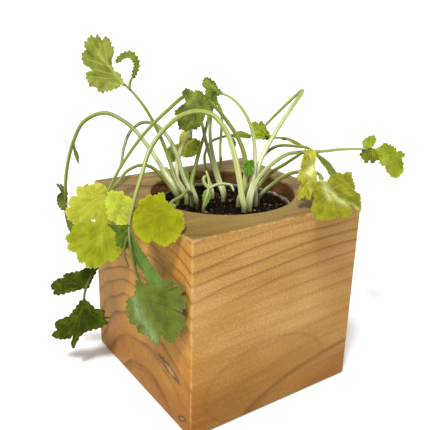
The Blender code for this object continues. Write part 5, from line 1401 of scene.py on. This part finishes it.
leafRightBack = {
    "node": "leaf_right_back", "slot": "lime_leaf", "root": (14, -10), "widths": (3, 1.4),
    # its stem is whiter far up: partly its own pale colour, partly a painted highlight
    "stemLook": {"top": (0.34, 0.39, 0.09), "shade": (0.17, 0.2, 0.02), "base": (0.95, 0.97, 0.62),
                 "whiten": 0.85},
    "route": [(16, -6.5, 104.5), (21.5, -3.5, 114), (27, -2, 120.5), (38, 0, 132.5), (48, 1.5, 142),
              (54, 3.5, 146.5), (56, 6, 146.8), (55, 9, 144), (50.5, 14, 137), (43.8, 22.6, 124.2),
              (43.2, 22.9, 123.3)],
    "fans": [
        {"hub": (41.5, 22, 122.5), "tip": (-0.6, 0.6, 0.53), "facing": (-0.4, -0.8, 0.45), "droop": 0.1,
         "arch": 0.1, "scale": 8, "centre": (0.2, 0.8), "base": (-0.1, -2.9), "pitch": 1.9, "bite": 0.77,
         "ribs": [[(-6, 0.6), (0.4, 0.9), (6.5, 0.2)], [(-6, 0.6), (-1, -1.4), (2.9, -4.3)], [(-6, 0.6),
             (-1.8, 2.4), (1.9, 4.9)]],
         "outline": [(-5.1, -1.2), (-2.7, -2.6), (-0.1, -3.9), (1.6, -4.6), (3.4, -5.2), (3.6, -2.9),
             (5.2, -2.9), (6.6, -2.3), (7.2, -0.6), (7, 0.9), (5.3, 2.4), (3.7, 3.8), (1.3, 5.7),
             (-2.6, 3.6), (-6.1, 1.6), (-6.8, 0)],
         "look": {"light": (0.352, 0.407, 0.021), "deep": (0.158, 0.183, 0.003),
                  "rib": (0.462, 0.529, 0.049)}},
    ],
    "ribbons": [
        {"width": 5, "facing": (0.2, -0.25, 0.95), "base": 0.7, "end": 0.6, "arch": 0.5, "pitch": 3,
         "bite": 0.35,
         "points": [(43, 20, 121.5), (44, 13, 121), (45, 5, 122), (45.5, -3, 121.5), (45, -10, 120)],
         "look": {"light": (0.235, 0.242, 0.012), "deep": (0.136, 0.142, 0.005),
                  "rib": (0.299, 0.314, 0.032)}},
    ],
}
growLeaf(leafRightBack, 17)

leafRightStrap = {
    "node": "leaf_right_strap", "slot": "olive_leaf", "root": (11, -5), "widths": (2.2, 1.3),
    "stemLook": {"top": (0.22, 0.26, 0.015), "shade": (0.1, 0.125, 0.004)},
    "route": [(18.5, -1, 104), (25.5, 2, 111.5), (30, 1.5, 116.3), (32, -2.5, 119.7), (33, -9, 121.8),
              (35, -15, 122.3), (37.5, -21, 122.5), (39, -27, 120)],
    "ribbons": [
        {"width": 6, "facing": (0.1, -0.2, 0.95), "base": 0.4, "end": 0.5, "arch": 0.5, "pitch": 2.6,
         "bite": 0.42,
         "points": [(38.5, -25, 121), (39.5, -32.5, 118.5), (39.5, -39, 114.5), (38.5, -45, 110)],
         "look": {"light": (0.157, 0.22, 0.011), "deep": (0.093, 0.136, 0.005),
                  "rib": (0.228, 0.285, 0.027)}},
    ],
}
growLeaf(leafRightStrap, 18)

leafRightFar = {
    "node": "leaf_right_far", "slot": "lime_leaf", "root": (8, -13.5), "widths": (2.7, 1.2),
    "stemLook": {"top": (0.34, 0.39, 0.13), "shade": (0.22, 0.26, 0.06)},
    "route": [(11.5, -12, 104), (16, -12.5, 110), (23, -13, 115), (30, -14, 118.3), (37.5, -15, 118.8),
              (43.5, -17.5, 118.8), (51, -20.5, 119), (60.5, -23, 119.3), (70, -26.5, 119.2),
              (80.5, -27.4, 117.6), (82.5, -28.9, 116.5)],
    "fans": [
        {"hub": (77, -26, 122.5), "tip": (0.86, 0.06, 0.51), "facing": (-0.3, -0.75, 0.6), "scale": 5,
         "centre": (1, -1.3), "base": (-1, -3.6), "pitch": 1.7, "bite": 0.56,
         "ribs": [[(-1, -3.6), (-1.5, -0.5), (-1.7, 1.9)], [(-1, -3.6), (0.7, -1), (4.2, 0.8)], [(-1, -3.6),
             (1.8, -2.9), (4.5, -2.1)]],
         "outline": [(0.7, -3.8), (2.2, -3.5), (4, -2.8), (5.4, -1.5), (5.6, 0), (4.4, 1), (3, 1.8),
             (1.7, 1.4), (0.9, 1.7), (-0.2, 2.5), (-1.3, 1.8), (-2.7, 2), (-3.8, 1), (-4.7, -0.1),
             (-2.7, -2.4), (-0.6, -3.9)],
         "look": {"light": (0.312, 0.372, 0.03), "deep": (0.184, 0.233, 0.003),
                  "rib": (0.406, 0.481, 0.054)}},
        {"hub": (75.5, -29, 115), "tip": (-0.75, -0.21, -0.63), "facing": (-0.3, -0.75, 0.6), "scale": 5.5,
         "centre": (-3, -0.5), "base": (-4.9, -0.2), "pitch": 1.7, "bite": 0.56,
         "ribs": [[(-4.9, -0.2), (-1.4, -2.5), (1.9, -4.5)], [(-4.9, -0.2), (0.2, -0.4), (4.4, 0.1)],
             [(-4.9, -0.2), (-1.1, 1.3), (1.9, 3.6)], [(-4.9, -0.2), (-3.7, 2.7), (-2.3, 5.7)]],
         "outline": [(-5.5, 0.8), (-4.5, -1.2), (-2.9, -3.2), (-0.8, -4.9), (0.5, -4.5), (2.1, -4.8),
             (2.7, -3.5), (3.8, -2.6), (3.6, -1.4), (4.7, -0.4), (4.3, 0.6), (3.1, 1), (1.6, 1.1),
             (1.6, 1.7), (2.7, 2.8), (2, 3.9), (0.5, 4.5), (-0.7, 4.4), (-2.1, 6.1), (-3.5, 5.6),
             (-4.4, 4.3), (-5.1, 2.6)],
         "look": {"light": (0.17, 0.188, 0.004), "deep": (0.058, 0.07, 0.003),
                  "rib": (0.229, 0.249, 0.012)}},
        {"hub": (86, -34, 114), "tip": (-0.07, -0.61, -0.79), "facing": (-0.3, -0.75, 0.6), "droop": 0.15,
         "arch": 0.15, "scale": 11, "centre": (-1.1, 0.5), "base": (-6.5, -6.6), "pitch": 2, "bite": 0.84,
         "cup": 0.7,
         "ribs": [[(-6.5, -6.6), (-4, -2.3), (0.2, 1.6), (6, 4), (11.3, 2.4)], [(-5.1, -4.4), (-6.5, -1.3),
             (-7.8, 2)], [(-4, -2.3), (-4.4, 1.8), (-3.7, 6.2)], [(-2.1, -0.2), (-1, 4.4), (0.5, 9.6)],
             [(0.2, 1.6), (4.4, 5.3), (8.1, 6.5)], [(-2.6, -0.7), (2.1, -1.1), (10.5, -1)], [(-4.2, -2.6),
             (-0.6, -3.9), (2.9, -5.1)]],
         "outline": [(-4.6, -6.4), (-2.8, -6), (-1, -5.6), (0.2, -5.8), (1.9, -6.2), (3.1, -5.5), (4.1, -4),
             (5.4, -4), (7.3, -4.4), (8.5, -3.2), (9.9, -2.3), (10.8, -1), (11.3, 0.6), (11.5, 2.3),
             (10.1, 4.3), (9.5, 5.9), (8.3, 6.9), (6.4, 7.3), (4.7, 7.1), (3, 6.6), (1.4, 6.7), (1.2, 9),
             (0.5, 10.2), (-0.9, 9.5), (-1.9, 8.9), (-2.3, 7.3), (-2.7, 5.9), (-3.5, 6.4), (-4.7, 6.9),
             (-5.5, 5.7), (-6.3, 4.6), (-6.6, 3.6), (-7.5, 3.2), (-8.1, 2.2), (-8.6, 0.6), (-8.1, -1),
             (-7.3, -3.1), (-6.6, -5.4), (-6.6, -6.6)],
         "look": {"light": (0.28, 0.326, 0.016), "deep": (0.149, 0.173, 0.003),
                  "rib": (0.313, 0.363, 0.02)}},
    ],
}
growLeaf(leafRightFar, 19)

leafRightYellow = {
    "node": "leaf_right_yellow", "slot": "yellow_leaf", "root": (15.5, -4), "widths": (2.6, 1.2),
    "stemLook": {"top": (0.22, 0.26, 0.015), "shade": (0.1, 0.125, 0.004)},
    "route": [(20, -8, 104), (23.5, -11.5, 109.5), (27, -17, 114.5), (29.5, -22, 119), (31, -26, 122),
              (31, -29.5, 121.5), (26.5, -34, 118)],
    "stalks": [{"route": [(31, -29, 120.5), (33.5, -31.5, 121.5), (35, -32.5, 124)], "widths": (1.4, 1)}],
    "fans": [
        {"hub": (22.9, -37.2, 115), "tip": (-0.6, -0.56, -0.59), "facing": (-0.37, -0.45, 0.81),
         "droop": 0.1, "arch": 0.3, "scale": 12, "centre": (-1.6, 3.9), "base": (-13.2, 2.5), "pitch": 2.3,
         "bite": 1.12, "paleSheenWidth": 2.2, "relief": 1,
         "paleSheen": [[(-12.7, 2.1), (-5.2, 3.3), (0, 1.3)]],
         "ribs": [[(-13.2, 2.5), (-8.3, 2.7), (-2.4, 1.6), (4.6, 0.9), (13.9, 0.5)], [(-5.8, 2.2),
             (-1.9, -1.4)], [(-2.4, 1.6), (1.1, -0.7), (3.5, -3.8)], [(1.2, 1.1), (4.3, 4.8)], [(4.6, 0.9),
             (8.7, 2.2), (13.6, 2.9)], [(4.6, 0.9), (9.5, -1), (13.7, -2.5)], [(-12, 2.5), (-13.2, 0.2)]],
         "outline": [(-10.7, -2.4), (-8.5, -0.9), (-6.3, -1), (-3.8, -2.6), (-2.1, -2.7), (-0.4, -4.3),
             (1.5, -3.5), (3.1, -4.2), (4.6, -3.6), (5.9, -1.3), (8.7, -2.2), (10.5, -3.3), (12.1, -2.4),
             (14.1, -3.1), (14.9, -1.2), (13.4, 0.1), (12.7, 1.1), (14.4, 1.8), (13.9, 3), (12.2, 3.4),
             (11, 4.3), (8.3, 4.4), (5.3, 4.9), (4, 5.9), (1.6, 5.1), (-2.9, 4), (-6.8, 3.4), (-10.9, 3.3),
             (-14.1, 2.6), (-14.7, 1.6), (-15.1, 0.3), (-15, -1.6), (-14.1, -2.4)],
         "look": {"light": (0.44, 0.42, 0.03), "deep": (0.2, 0.19, 0.003), "rib": (0.5, 0.49, 0.09),
                  "margin": (0.29, 0.28, 0.008), "wither": 0.08, "paleSheen": (0.72, 0.71, 0.28), "lines": 0.3}},
    ],
    "ribbons": [
        {"facing": (-0.37, -0.45, 0.81), "width": 6.6, "base": 0.78, "end": 0.9, "arch": 0.15, "pitch": 2.2,
         "bite": 0.8,
         "points": [(32.1, -28.2, 123.8), (30.2, -30.9, 121.5), (27, -33.3, 118.7), (24.1, -35.6, 116.1)],
         "look": {"light": (0.47, 0.43, 0.02), "deep": (0.3, 0.26, 0.004), "rib": (0.55, 0.51, 0.08),
                  "wither": 0.1, "lines": 0.3}},
    ],
}
growLeaf(leafRightYellow, 20)

leafRightFront = {
    "node": "leaf_right_front", "slot": "lime_leaf", "root": (17.5, -7.5), "widths": (2.6, 1.2),
    "stemLook": {"top": (0.22, 0.26, 0.015), "shade": (0.1, 0.125, 0.004)},
    "route": [(19, -11, 99.5), (21, -14.5, 103.5), (24, -17.5, 107.5), (29, -20, 110), (34, -23, 111),
              (36.5, -28, 111.5), (35.5, -33, 111.6), (33, -38, 111.3), (25.3, -44.5, 113.7),
              (25.5, -46.3, 112.2)],
    "fans": [
        {"hub": (24.5, -54.5, 108.7), "tip": (-0.46, -0.78, -0.43), "facing": (0.05, -0.5, 0.86),
         "droop": 0.12, "arch": 0.12, "scale": 20, "centre": (-3.6, -0.1), "base": (-10.3, -4.4),
         "pitch": 1.9, "bite": 0.98, "ridge": 0.06, "cup": 0.5, "paleSheenWidth": 1.9, "relief": 1,
         "paleSheen": [[(-10.3, -4.4), (-2.2, -1.7), (3, 2.3), (4.1, 7.2), (4.7, 13.7)], [(-10.3, -4.4),
             (-2.9, -3.5), (3.3, -3.1)]],
         "ribs": [[(-10.3, -4.4), (-3.5, -3), (3.2, 0.2)], [(-6, -3.5), (-12.6, 4), (-19.5, 11.6)],
             [(-2.1, -2), (-9.7, 6.9), (-15.2, 15.6)], [(0.6, -0.9), (-2.6, 6), (-8, 13.3)], [(3.2, 0.2),
             (1.7, 6), (3.1, 10.7), (4.8, 13.8)], [(3.2, 0.2), (7.1, 3.2), (9.8, 7.5)], [(3.2, 0.2),
             (8.2, 0.6), (13.6, 2.1)], [(2.6, -0.3), (8.8, -1.8), (14.8, -2.9)], [(1.1, -1), (9.4, -5.6),
             (16.6, -8.6)], [(-1.6, -2.1), (6.4, -7.7), (12.3, -12.4)], [(-4.3, -3.2), (0.7, -7.4),
             (5.3, -10.3)]],
         "outline": [(-9.2, -5.1), (-6.6, -6.4), (-4.3, -8.3), (-1.2, -8.9), (2.1, -10.4), (5.3, -10.3),
             (6.7, -11.4), (9.4, -12.2), (12.1, -13), (14.1, -12.3), (16.1, -12.4), (16.6, -10.7),
             (17, -8.9), (16.7, -7.1), (15.6, -4.5), (15, -2.6), (13.7, -0.2), (14, 2.1), (11.6, 5.5),
             (9.6, 8.1), (7.8, 7.9), (5.7, 7.1), (3.6, 6.8), (4.3, 7.9), (5.6, 9.8), (6.3, 11.8),
             (5.5, 13.7), (2.1, 15), (-1.5, 15.3), (-4.9, 15.1), (-7.3, 14.7), (-7.5, 13.1), (-9.9, 14.2),
             (-13.8, 15.7), (-15.9, 15.2), (-17.7, 14.3), (-20.5, 14.2), (-20.4, 12), (-17.6, 8.5),
             (-16.8, 5.7), (-15.3, 3.2), (-12.1, 0.4), (-8.6, -2.4), (-10.4, -4.2)],
         "look": {"light": (0.276, 0.275, 0.011), "deep": (0.133, 0.135, 0.003),
                  "rib": (0.368, 0.378, 0.048), "margin": (0.248, 0.252, 0.008), "paleSheen": (0.5, 0.53, 0.19),
                  "lines": 0.4, "shine": 0.08}},
    ],
}
growLeaf(leafRightFront, 21)

studio = {
    "floorSize": 24.0, "sweepFrom": 3.0, "sweepRise": 0.02,  # the floor curves up far from the planter
    "floor": (0.93, 0.93, 0.93), "floorFibre": (0.90, 0.90, 0.90),
    "sky": 0.62, "sun": 3.0, "sunSpread": 12, "sunFrom": (-0.66, -0.46, 1.35),
    "cameraPlace": (-0.17089, -0.24064, 0.19332), "azimuth": -34.69, "elevation": 19.95, "roll": 1.35,
    "lens": 50.06,
}


def buildFloor(values):
    deselect()
    bpy.ops.mesh.primitive_grid_add(x_subdivisions=60, y_subdivisions=60, size=values["floorSize"])
    floor = bpy.context.object
    floor.name = "studio_floor"
    points = readPoints(floor)
    far = np.maximum(np.hypot(points[:, 0], points[:, 1]) - values["sweepFrom"], 0)
    points[:, 2] = far**2 * values["sweepRise"] - 0.0002
    writePoints(floor, points * 1000)
    soften(floor)
    material, tree, shader, place = newMaterial("studio_paper", Roughness=0.9, Specular_IOR_Level=0.1)
    soft = noiseOf(tree, place, 3.0, 2.0)
    colour = blend(tree, soft, values["floor"], values["floorFibre"])
    tree.links.new(colour, shader.inputs["Base Color"])
    floor.data.materials.append(material)


def buildLights(values):
    world = bpy.data.worlds.new("studio_world")
    bpy.context.scene.world = world
    world.use_nodes = True
    sky = world.node_tree.nodes["Background"].inputs
    sky["Color"].default_value = (1, 1, 1, 1)
    sky["Strength"].default_value = values["sky"]
    data = bpy.data.lights.new("studio_key", "SUN")
    data.energy = values["sun"]
    data.angle = math.radians(values["sunSpread"])
    key = bpy.data.objects.new("studio_key", data)
    bpy.context.scene.collection.objects.link(key)
    key.rotation_euler = Vector(values["sunFrom"]).to_track_quat("Z", "Y").to_euler()


def buildCamera(values):
    azimuth, elevation = math.radians(values["azimuth"]), math.radians(values["elevation"])
    roll = math.radians(values["roll"])
    back = Vector((math.sin(azimuth) * math.cos(elevation), -math.cos(azimuth) * math.cos(elevation),
                   math.sin(elevation)))
    right = Vector((0, 0, 1)).cross(back).normalized()
    up = back.cross(right)
    turnedRight = right * math.cos(roll) + up * math.sin(roll)
    turnedUp = up * math.cos(roll) - right * math.sin(roll)
    data = bpy.data.cameras.new("studio_camera")
    data.lens = values["lens"]
    data.sensor_width = 36
    camera = bpy.data.objects.new("studio_camera", data)
    bpy.context.scene.collection.objects.link(camera)
    turned = Matrix((turnedRight, turnedUp, back)).transposed().to_4x4()
    turned.translation = Vector(values["cameraPlace"])
    camera.matrix_world = turned
    bpy.context.scene.camera = camera


buildFloor(studio)
buildLights(studio)
buildCamera(studio)
bpy.context.scene.view_settings.view_transform = "Standard"
print("studio done")
